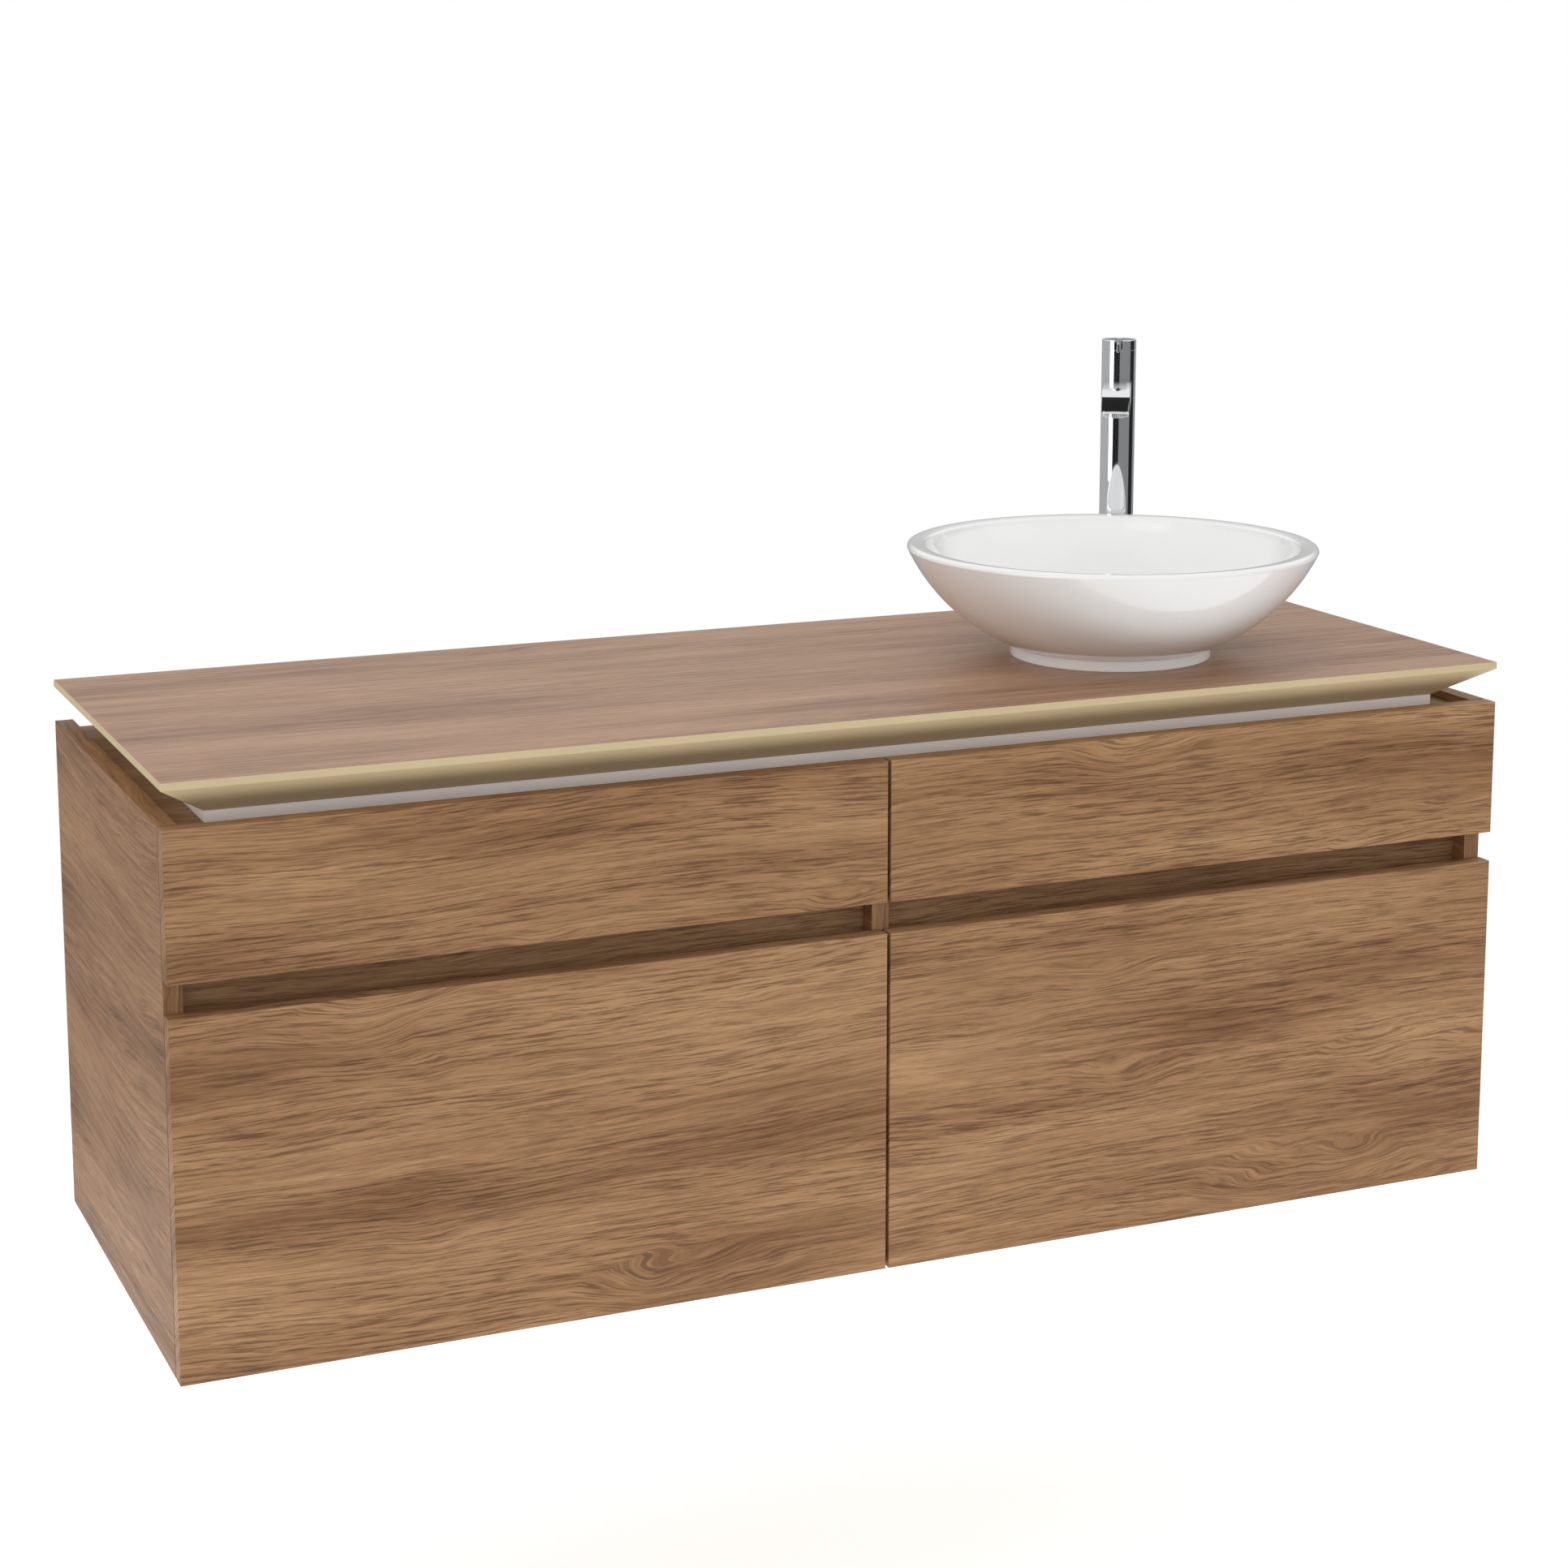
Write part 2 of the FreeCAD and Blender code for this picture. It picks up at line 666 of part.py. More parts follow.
def waste():
    """Always-open waste: flanged tail with a hub on spokes, lift-off cover and nut under the top board."""
    end = f"(-{WORKTOP} - waste_tail)"
    inner = "(waste_radius - waste_wall)"
    tube = turned_part(
        "tube",
        [
            (inner, end),
            ("waste_radius", end),
            ("waste_radius", "drain_seat"),
            ("waste_flange", "drain_seat"),
            ("waste_flange", "drain_seat + flange_thickness - 0.8"),
            ("waste_flange - 0.8", "drain_seat + flange_thickness"),
            (f"{inner} + 1.5", "drain_seat + flange_thickness"),
            (inner, "drain_seat + flange_thickness - 1.5"),
        ],
        BASIN_X, BASIN_Y, TOP,
    )
    low = f"({TOP} + 2)"
    reach = f"({inner} + waste_wall / 2)"
    hub = rod("hub", "z", (BASIN_X, BASIN_Y, low), "hub_height", "hub_radius")
    along_x = block(
        "spoke_x",
        (f"{BASIN_X} - {reach}", f"{BASIN_Y} - spoke / 2", low),
        (f"{BASIN_X} + {reach}", f"{BASIN_Y} + spoke / 2", f"{low} + hub_height"),
    )
    along_y = block(
        "spoke_y",
        (f"{BASIN_X} - spoke / 2", f"{BASIN_Y} - {reach}", low),
        (f"{BASIN_X} + spoke / 2", f"{BASIN_Y} + {reach}", f"{low} + hub_height"),
    )
    hub_under = (BASIN_X, BASIN_Y, f"{low} - 1")
    stem_hole = rod("stem_hole", "z", hub_under, "hub_height + 2", "stem_radius + stem_play")
    waste = fused("waste_fused", [tube, hub, along_x, along_y])
    node(cut("waste_cut", waste, [stem_hole]), "waste_fitting")

    edge = "(drain_seat + flange_thickness + cover_rise)"
    collar = "(2 + hub_height + 0.1)"
    dome = [
        ("0", "1"),
        ("stem_radius", "1"),
        ("stem_radius", collar),
        ("stem_radius + 1.5", collar),
        ("stem_radius + 1.5", edge),
        ("cover_radius - 1", edge),
        ("cover_radius", f"{edge} + 1", "(cover_radius^2 + cover_dome^2) / (2 * cover_dome)", 1),
        ("0", f"{edge} + 1 + cover_dome"),
    ]
    node(turned_part("dome", dome, BASIN_X, BASIN_Y, TOP), "waste_cover")

    hexagon = doc.addObject("Part::Prism", "hexagon")
    hexagon.Polygon = 6
    bind(hexagon, "Circumradius", "waste_radius + nut_wall")
    bind(hexagon, "Height", "nut_height")
    place(hexagon, BASIN_X, BASIN_Y, f"{BOARD_UNDER} - nut_height")
    nut_under = (BASIN_X, BASIN_Y, f"{BOARD_UNDER} - nut_height - 1")
    bore = rod("nut_bore", "z", nut_under, "nut_height + 2", "waste_radius")
    node(cut("nut", hexagon, [bore]), "waste_nut")


def trap():
    """Bottle trap: down pipe, slip nuts, head, screw-off cup and the outlet pipe to the wall."""
    bore = "(pipe_radius - pipe_wall)"
    shoulder = "(pipe_radius + 2)"
    neck = "(pipe_radius + trap_neck_wall)"
    pipe = [
        (bore, f"{HEAD_UNDER} - cup_height / 3"),
        ("pipe_radius", f"{HEAD_UNDER} - cup_height / 3"),
        ("pipe_radius", f"{WASTE_END} - 3"),
        (shoulder, f"{WASTE_END} - 3"),
        (shoulder, WASTE_END),
        (bore, WASTE_END),
    ]
    node(turned_part("down", pipe, BASIN_X, BASIN_Y, "0"), "trap_down_pipe")
    grip = "(waste_radius + slip_wall)"
    upper_nut = [
        ("waste_radius", WASTE_END),
        ("waste_radius", f"{WASTE_END} + slip_height / 2"),
        (f"{grip} - 1", f"{WASTE_END} + slip_height / 2"),
        (grip, f"{WASTE_END} + slip_height / 2 - 1"),
        (grip, f"{WASTE_END} - slip_height / 2"),
        ("pipe_radius", f"{WASTE_END} - slip_height / 2"),
        ("pipe_radius", f"{WASTE_END} - 3"),
        (shoulder, f"{WASTE_END} - 3"),
        (shoulder, WASTE_END),
    ]
    lower_nut = rectangle("pipe_radius", TRAP_TOP, f"{neck} + 3", f"{TRAP_TOP} + trap_neck_height")
    nuts = [
        turned_part("nut_upper", upper_nut, BASIN_X, BASIN_Y, "0"),
        turned_part("nut_lower", lower_nut, BASIN_X, BASIN_Y, "0"),
    ]
    node(group("slip_nuts", nuts), "trap_slip_nuts")

    head = turned_part(
        "head",
        [
            ("pipe_radius", HEAD_TOP),
            ("pipe_radius", TRAP_TOP),
            (neck, TRAP_TOP),
            (neck, HEAD_TOP),
            (f"{TRAP_RADIUS} - 3", HEAD_TOP),
            (TRAP_RADIUS, f"{HEAD_TOP} - 3"),
            (TRAP_RADIUS, HEAD_UNDER),
            (f"{TRAP_RADIUS} - cup_wall", HEAD_UNDER),
            (f"{TRAP_RADIUS} - cup_wall", f"{HEAD_TOP} - 4"),
            ("pipe_radius", f"{HEAD_TOP} - 4"),
        ],
        BASIN_X, BASIN_Y, "0",
    )
    stub_start = f"({BASIN_Y} + pipe_radius + 4)"
    stub_reach = f"({BASIN_Y} + {TRAP_RADIUS} + outlet_reach - {stub_start})"
    stub = rod("stub", "y", (BASIN_X, stub_start, OUTLET), stub_reach, "pipe_radius + stub_wall")
    bore_start = (BASIN_X, f"{stub_start} - 1", OUTLET)
    stub_bore = rod("stub_bore", "y", bore_start, f"{stub_reach} + 2", "pipe_radius")
    node(cut("head_cut", fused("head_fused", [head, stub]), [stub_bore]), "trap_head")

    outer = f"({TRAP_RADIUS} - cup_step)"
    inner = f"({outer} - cup_wall)"
    cup = [
        ("0", CUP_UNDER),
        (f"{outer} - 6", CUP_UNDER),
        (outer, f"{CUP_UNDER} + 6"),
        (outer, f"{HEAD_UNDER} - 8"),
        (TRAP_RADIUS, f"{HEAD_UNDER} - 8"),
        (TRAP_RADIUS, HEAD_UNDER),
        (inner, HEAD_UNDER),
        (inner, f"{CUP_UNDER} + 7"),
        (f"{outer} - 7", f"{CUP_UNDER} + cup_wall"),
        ("0", f"{CUP_UNDER} + cup_wall"),
    ]
    node(turned_part("cup", cup, BASIN_X, BASIN_Y, "0"), "trap_cup")

    start = f"({BASIN_Y} + {TRAP_RADIUS} + 2)"
    run = f"(-outlet_end - {start})"
    plain = rod("outlet_plain", "y", (BASIN_X, start, OUTLET), run, "pipe_radius")
    stop_start = (BASIN_X, "-outlet_end - outlet_free - bead", OUTLET)
    stop = rod("outlet_stop", "y", stop_start, "bead", "pipe_radius + bead")
    solid = fused("outlet_solid", [plain, stop])
    inside_start = (BASIN_X, f"{start} - 1", OUTLET)
    inside = rod("outlet_inside", "y", inside_start, f"{run} + 2", "pipe_radius - pipe_wall")
    node(cut("outlet", solid, [inside]), "trap_outlet_pipe")


# ---------------------------------------------------------------- tap

def tap():
    """Tall single-lever mixer: column with its spout, aerator, cartridge, cap, lever, pin and fixing."""
    seam = "(tap_height - lever_height - cap_floor)"
    spout_under = "(spout_top - spout_depth)"
    bore_radius = "(tap_radius - tap_wall)"

    casting = body("casting")
    revolve(casting, rectangle("0", "0", "tap_radius", seam))
    section = [
        ("-spout_width / 2 + spout_round", spout_under),
        ("spout_width / 2 - spout_round", spout_under, "spout_round", 1),
        ("spout_width / 2", f"{spout_under} + spout_round"),
        ("spout_width / 2", "spout_top"),
        ("-spout_width / 2", "spout_top"),
        ("-spout_width / 2", f"{spout_under} + spout_round", "spout_round", 1),
    ]
    extrude(casting, "Pad", "XZ_Plane", section, "spout_reach")
    slope = [
        ("-spout_reach - 1", "spout_top - spout_chamfer - 1"),
        ("-spout_reach + spout_chamfer + 1", "spout_top + 1"),
        ("-spout_reach - 1", "spout_top + 1"),
    ]
    extrude(casting, "Pocket", "YZ_Plane", slope, "spout_width + 2", symmetric=True)
    bore = circle(casting, "XY_Plane", bore_radius, height=seam)
    hollow(casting, bore, "bore_depth")
    aerator_y = "(-spout_reach + aerator_setback)"
    seat = circle(casting, "XY_Plane", "aerator_stem", v=aerator_y, height=spout_under)
    hollow(casting, seat, "aerator_stem_height + 1", upwards=True)
    peg = circle(casting, "XY_Plane", "shank_peg")
    hollow(casting, peg, "shank_peg_height", upwards=True)
    node(on_tap(casting), "tap_body")

    aerator = body("aerator_body")
    revolve(
        aerator,
        [
            ("0", "-aerator_height + 1"),
            ("aerator_radius - 3", "-aerator_height + 1"),
            ("aerator_radius - 2", "-aerator_height"),
            ("aerator_radius - 0.6", "-aerator_height"),
            ("aerator_radius", "-aerator_height + 0.6"),
            ("aerator_radius", "0"),
            ("aerator_stem", "0"),
            ("aerator_stem", "aerator_stem_height"),
            ("0", "aerator_stem_height"),
        ],
    )
    place(
        aerator,
        f"{TAP_X} - (spout_reach - aerator_setback) * sin(tap_turn)",
        f"{TAP_Y} - (spout_reach - aerator_setback) * cos(tap_turn)",
        f"{TOP} + {spout_under}",
    )
    node(aerator, "aerator")

    neck_under = f"({seam} - neck_height)"
    insert = rectangle("0", f"{seam} - bore_depth", f"{bore_radius} - cartridge_play", f"{neck_under} - 0.5")
    cartridge = body("cartridge_body")
    revolve(cartridge, insert)
    node(on_tap(cartridge), "cartridge")

    slot_half = "(lever_width / 2 + slot_play)"
    slot_end = "(pin_setback + lever_height / 2 + 1.2)"
    lever_under = "(tap_height - lever_height)"
    pin_height = "(tap_height - lever_height / 2)"
    pin_length = "(lever_width + 2 * pin_hold)"
    cap = body("cap_body")
    revolve(
        cap,
        [
            ("0", neck_under),
            (f"{bore_radius} - neck_play", neck_under),
            (f"{bore_radius} - neck_play", f"{seam} + cap_seam"),
            ("tap_radius", f"{seam} + cap_seam"),
            ("tap_radius", "tap_height - cap_round"),
            ("tap_radius - cap_round", "tap_height"),
            ("0", "tap_height"),
        ],
    )
    opening = rectangle(f"-{slot_half}", "-tap_radius - 1", slot_half, slot_end)
    extrude(cap, "Pocket", "XY_Plane", opening, "lever_height + slot_play", height="tap_height")
    pin_seat = circle(cap, "YZ_Plane", "pin_radius", "pin_setback", pin_height)
    across = cap.newObject("PartDesign::Pocket", "pin_seat")
    across.Profile = pin_seat
    across.SideType = "Symmetric"
    bind(across, "Length", pin_length)
    node(on_tap(cap), "tap_cap")

    lever = body("lever_body")
    blade = [
        ("pin_setback", lever_under, "lever_height / 2", 1),
        ("pin_setback + lever_height / 2", pin_height, "lever_height / 2", 1),
        ("pin_setback", "tap_height"),
        ("-lever_reach", "tap_height"),
        ("-lever_reach", lever_under),
    ]
    extrude(lever, "Pad", "YZ_Plane", blade, "lever_width", symmetric=True)
    for sign in ("1", "-1"):
        taper = [
            (f"{sign} * lever_width / 2", "-lever_taper_start"),
            (f"{sign} * (lever_width / 2 + 1)", "-lever_taper_start"),
            (f"{sign} * (lever_width / 2 + 1)", "-lever_reach - 1"),
            (f"{sign} * lever_tip / 2", "-lever_reach - 1"),
            (f"{sign} * lever_tip / 2", "-lever_reach"),
        ]
        extrude(lever, "Pocket", "XY_Plane", taper, "lever_height + 2", height="tap_height + 1")
    eye = circle(lever, "YZ_Plane", "(pin_radius + pin_play)", "pin_setback", pin_height)
    drilled = lever.newObject("PartDesign::Pocket", "lever_eye")
    drilled.Profile = eye
    drilled.SideType = "Symmetric"
    bind(drilled, "Length", "lever_width + 2")
    node(on_tap(lever), "tap_lever")

    pin = body("pin_body")
    round_bar = circle(pin, "YZ_Plane", "pin_radius", "pin_setback", pin_height)
    bar = pin.newObject("PartDesign::Pad", "pin_bar")
    bar.Profile = round_bar
    bar.SideType = "Symmetric"
    bind(bar, "Length", pin_length)
    node(on_tap(pin), "lever_pin")

    shank = body("shank_body")
    foot = f"(-{WORKTOP} - shank_tail)"
    revolve(
        shank,
        [
            ("0", foot),
            ("shank_radius", foot),
            ("shank_radius", "0"),
            ("shank_peg", "0"),
            ("shank_peg", "shank_peg_height"),
            ("0", "shank_peg_height"),
        ],
    )
    for sign in ("-1", "1"):
        inlet = circle(shank, "XY_Plane", "inlet_radius", f"({sign} * inlet_spacing / 2)", height=foot)
        hollow(shank, inlet, "inlet_depth", upwards=True)
    node(on_tap(shank), "tap_shank")

    hexagon = doc.addObject("Part::Prism", "tap_hexagon")
    hexagon.Polygon = 6
    bind(hexagon, "Circumradius", "shank_radius + 9")
    bind(hexagon, "Height", "nut_height")
    place(hexagon, TAP_X, TAP_Y, f"{BOARD_UNDER} - nut_height")
    nut_under = (TAP_X, TAP_Y, f"{BOARD_UNDER} - nut_height - 1")
    bore = rod("tap_nut_bore", "z", nut_under, "nut_height + 2", "shank_radius")
    node(cut("tap_nut_cut", hexagon, [bore]), "tap_nut")


# ---------------------------------------------------------------- build, check and write

carcass()
hanging()
worktop()
fixed_members = []
for drawer_level in LEVELS:
    for drawer_bay in BAYS:
        drawer(drawer_level, drawer_bay, fixed_members)
node(group("fixed", fixed_members), "runners_fixed")
bowl()
waste()
trap()
tap()
doc.recompute()

for thing in doc.Objects:
    if "Invalid" in thing.State or "Error" in thing.State:
        raise RuntimeError(f"{thing.Name} failed: {thing.State}")
for piece in nodes:
    if piece.Shape.isNull() or not piece.Shape.isValid() or piece.Shape.Volume <= 0:
        raise RuntimeError(f"{piece.Label} has no valid solid")

os.makedirs("parts", exist_ok=True)
for piece in nodes:
    piece.Shape.exportStep(f"parts/{piece.Label}.step")
print(f"{len(nodes)} sub-parts written")
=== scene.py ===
# %% [markdown]
# # A wall-hung vanity with a bowl on its worktop
# The cabinet, its drawers, the bowl and the tap were designed as solids, and they arrive here as a fixed
# frame: every piece already has its true size and place, in metres, with Z up and the wall at Y = 0. This
# lesson gives each piece the look of the real one. A piece whose shape is already right keeps it and gets a
# finish. A piece that needs rounder edges or a finer surface gets a new mesh, which then stands for it.

# %% Load the frame
import json
import math

import bmesh
import bpy
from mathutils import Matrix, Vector


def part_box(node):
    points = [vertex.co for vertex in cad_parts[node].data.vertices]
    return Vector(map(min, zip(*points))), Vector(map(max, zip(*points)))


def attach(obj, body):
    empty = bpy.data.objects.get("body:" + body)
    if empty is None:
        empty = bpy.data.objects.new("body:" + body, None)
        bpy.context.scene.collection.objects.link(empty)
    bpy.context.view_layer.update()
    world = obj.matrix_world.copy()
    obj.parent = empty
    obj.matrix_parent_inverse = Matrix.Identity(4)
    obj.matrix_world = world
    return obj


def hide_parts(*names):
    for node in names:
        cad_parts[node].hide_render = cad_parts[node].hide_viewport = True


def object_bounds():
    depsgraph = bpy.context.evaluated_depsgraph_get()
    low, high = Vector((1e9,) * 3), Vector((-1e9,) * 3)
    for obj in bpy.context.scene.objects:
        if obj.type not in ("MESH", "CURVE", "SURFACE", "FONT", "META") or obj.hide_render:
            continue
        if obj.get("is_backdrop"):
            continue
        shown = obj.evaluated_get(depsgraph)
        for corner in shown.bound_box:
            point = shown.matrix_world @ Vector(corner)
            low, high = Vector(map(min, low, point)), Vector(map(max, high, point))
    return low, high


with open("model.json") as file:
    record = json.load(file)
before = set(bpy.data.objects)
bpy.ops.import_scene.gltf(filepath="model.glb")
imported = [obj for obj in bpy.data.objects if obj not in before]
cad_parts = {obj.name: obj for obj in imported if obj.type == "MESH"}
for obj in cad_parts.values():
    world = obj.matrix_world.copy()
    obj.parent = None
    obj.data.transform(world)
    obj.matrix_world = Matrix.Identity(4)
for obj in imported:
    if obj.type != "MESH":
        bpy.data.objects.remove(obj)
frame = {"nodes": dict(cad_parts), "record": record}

MM = 0.001
cad_low, cad_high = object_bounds()
nodes = frame["nodes"]
bodies = frame["record"]["behaviour"]["bodies"]
body_of_node = {node: body for body, members in bodies.items() for node in members}
slot_of_node = {part["node"]: part["material_slot"] for part in frame["record"]["subparts"]}
corners = [[round(x, 3) for x in corner] for corner in (cad_low, cad_high)]
print(f"{len(nodes)} pieces, from {corners[0]} to {corners[1]}")

# %% [markdown]
# ## Camera
# The unit is seen from its front left, a little from above. A long lens from over three metres away keeps
# the boards nearly parallel. The camera tilts down, so upright edges draw together a little towards the
# floor. A small shift of the sensor sets how high the unit stands in the picture. Placing the camera first
# means that every later choice can be judged in the same picture.

# %% Camera
CAMERA_PLACE = Vector((-1.2438, -3.1235, 0.7317))
CAMERA_TURN = 23.384
CAMERA_TILT = 9.595
LENS = 71.17
SHIFT = -0.125
SENSOR = 36
NEAREST = 0.05

camera_data = bpy.data.cameras.new("studio_camera")
camera_data.lens = LENS
camera_data.sensor_width = SENSOR
camera_data.shift_y = SHIFT
camera_data.clip_start = NEAREST
camera = bpy.data.objects.new("studio_camera", camera_data)
camera.location = CAMERA_PLACE
camera.rotation_euler = (math.radians(90 - CAMERA_TILT), 0, math.radians(-CAMERA_TURN))
bpy.context.scene.collection.objects.link(camera)
bpy.context.scene.camera = camera
print(f"camera {CAMERA_PLACE.length:.2f} m from the wall fixing, lens {LENS} mm")

# %% [markdown]
# ## Helpers for finishes
# A procedural finish is a small network of nodes: coordinates go in, noise turns them into patterns, and
# the patterns drive colour, roughness and bump. A few short helpers keep those networks readable. One adds
# a node with its settings, and one wires two nodes together. A third turns a colour as a paint chart gives
# it (0 to 255) into the linear light that the shader works in. A pattern travels as a pair, its node and
# the name of the output, which feed carries to the socket that reads it.

# %% Node helpers
def add(tree, kind, inputs=None, **settings):
    """A new node, with its own settings and the values of its unwired inputs."""
    node = tree.nodes.new(kind)
    for name, value in settings.items():
        setattr(node, name, value)
    for name, value in (inputs or {}).items():
        node.inputs[name].default_value = value
    return node


def wire(tree, source, output, target, socket):
    """A wire from one node's output to another's input."""
    tree.links.new(source.outputs[output], target.inputs[socket])


def feed(tree, pattern, target, socket):
    """A wire from a pattern, which is a (node, output) pair, to a node's input."""
    wire(tree, pattern[0], pattern[1], target, socket)


def tone(red, green, blue):
    """A paint-chart colour as linear light."""
    linear = []
    for part in (red, green, blue):
        share = part / 255
        linear.append(share / 12.92 if share <= 0.04045 else ((share + 0.055) / 1.055) ** 2.4)
    return (*linear, 1.0)


def blank(name):
    """An empty material with its shader and output, and the piece's own coordinates."""
    material = bpy.data.materials.new(name)
    material.use_nodes = True
    tree = material.node_tree
    tree.nodes.clear()
    output = add(tree, "ShaderNodeOutputMaterial")
    shader = add(tree, "ShaderNodeBsdfPrincipled")
    wire(tree, shader, "BSDF", output, "Surface")
    place = add(tree, "ShaderNodeTexCoord")
    return material, tree, shader, place


def calculate(tree, operation, *sides):
    """One step of arithmetic. Each side is a number or a (node, output) pair."""
    step = add(tree, "ShaderNodeMath", operation=operation)
    for index, side in enumerate(sides):
        if isinstance(side, tuple):
            feed(tree, side, step, index)
        else:
            step.inputs[index].default_value = side
    return step, "Value"


def stretched_noise(tree, vector, stretch, detail, roughness=0.5):
    """Noise whose cells are drawn out: stretch is how many cells fit in a metre along each axis."""
    scale = add(tree, "ShaderNodeVectorMath", {1: stretch}, operation="MULTIPLY")
    feed(tree, vector, scale, 0)
    noise = add(tree, "ShaderNodeTexNoise", {"Scale": 1.0, "Detail": detail, "Roughness": roughness})
    wire(tree, scale, "Vector", noise, "Vector")
    return noise, "Fac"


def spread(tree, source, low, high, to_low=0.0, to_high=1.0):
    """Stretch a pattern's middle values over a new range."""
    ranges = {"From Min": low, "From Max": high, "To Min": to_low, "To Max": to_high}
    remap = add(tree, "ShaderNodeMapRange", ranges)
    feed(tree, source, remap, "Value")
    return remap, "Result"


def tint(tree, shader, colour, lift):
    """A base colour whose brightness follows a pattern."""
    tinted = add(tree, "ShaderNodeHueSaturation", {"Color": colour})
    feed(tree, lift, tinted, "Value")
    wire(tree, tinted, "Color", shader, "Base Color")


def relief(tree, shader, height, strength, depth):
    """A fine bump that follows a pattern, depth being its height in metres."""
    bump = add(tree, "ShaderNodeBump", {"Strength": strength, "Distance": depth})
    feed(tree, height, bump, "Height")
    wire(tree, bump, "Normal", shader, "Normal")


print("helpers ready, mid grey is", round(tone(128, 128, 128)[0], 3))

# %% [markdown]
# ## Wood decor
# The boards carry a brown oak decor. Real grain is the cut through a tree's rings, so its lines are the
# contour lines of a slowly wandering surface: nearly straight along the board, bunched in places and
# closing into eyes where the surface has a hill. The same idea works here. Two calm noises push the
# across-the-grain coordinate about, one of them strongly in a few places only, which makes the eyes. Every
# finer pattern (wide tones, ring lines, short dark pores and fibre) reads the pushed coordinate, so that
# all of them follow the same flow. Each pattern has its own cells, counted in a metre along the grain,
# across it and through it. An image of wood would be quicker, but it would repeat, and each front of the
# real unit has its own figure, which a shift of the coordinates gives at no cost.

# %% Wood decor
GRAIN_AXES = {"x": (0, 1, 2), "y": (1, 2, 0), "z": (2, 0, 1)}
FRONT_TONES = {"dark": tone(123, 86, 54), "mid": tone(157, 118, 82), "light": tone(182, 143, 103)}
SIDE_TONES = {"dark": tone(120, 84, 53), "mid": tone(153, 111, 74), "light": tone(173, 131, 92)}
WORKTOP_TONES = {"dark": tone(137, 101, 78), "mid": tone(170, 132, 104), "light": tone(190, 152, 122)}
PORE_DEPTH = 0.25 * MM
PORE_TONE = (0.30, 0.24, 0.20, 1)
RIPPLE = 0.007
EYE = 0.030
WANDER_CELLS = (1.2, 4.2, 1)
RIPPLE_CELLS = (8, 30, 1)
HILL_CELLS = (3.1, 9, 1)
WIDE_CELLS = (1.9, 13, 1)
RING_CELLS = (4.5, 170, 1)
BUNCH_CELLS = (2.5, 28, 1)
PORE_CELLS = (17, 460, 1)
FIBRE_CELLS = (70, 1300, 1)
HILL_LEVELS = (0.60, 0.76)
BUNCH_LEVELS = (0.34, 0.56, 0.50, 1.0)
PORE_LEVELS = (0.48, 0.60)
FIBRE_LEVELS = (0.3, 0.7, 0.90, 1.10)
TONE_STOPS = (0.36, 0.49, 0.64)
WIDE_SHARE = 0.52
RING_SHARE = 0.48


def grain_flow(tree, place, along, shift, drift):
    """Coordinates along and across the grain, pushed about as rings wander. Drift is how far they go."""
    split = add(tree, "ShaderNodeSeparateXYZ")
    wire(tree, place, "Object", split, "Vector")
    run, across, depth = (split.outputs[axis].name for axis in GRAIN_AXES[along])
    length = calculate(tree, "ADD", (split, run), shift[0])
    span = calculate(tree, "ADD", (split, across), (split, depth))
    width = calculate(tree, "ADD", span, shift[1])
    flat = add(tree, "ShaderNodeCombineXYZ")
    feed(tree, length, flat, "X")
    feed(tree, width, flat, "Y")
    calm = stretched_noise(tree, (flat, "Vector"), WANDER_CELLS, 1.5)
    ripple = stretched_noise(tree, (flat, "Vector"), RIPPLE_CELLS, 1)
    hill_noise = stretched_noise(tree, (flat, "Vector"), HILL_CELLS, 1)
    hills = spread(tree, hill_noise, *HILL_LEVELS)
    push = calculate(tree, "MULTIPLY_ADD", hills, EYE, RIPPLE)
    drifted = calculate(tree, "MULTIPLY_ADD", calm, drift, width)
    rippled = calculate(tree, "MULTIPLY_ADD", ripple, push, drifted)
    flow = add(tree, "ShaderNodeCombineXYZ")
    feed(tree, length, flow, "X")
    feed(tree, rippled, flow, "Y")
    return flow, "Vector"


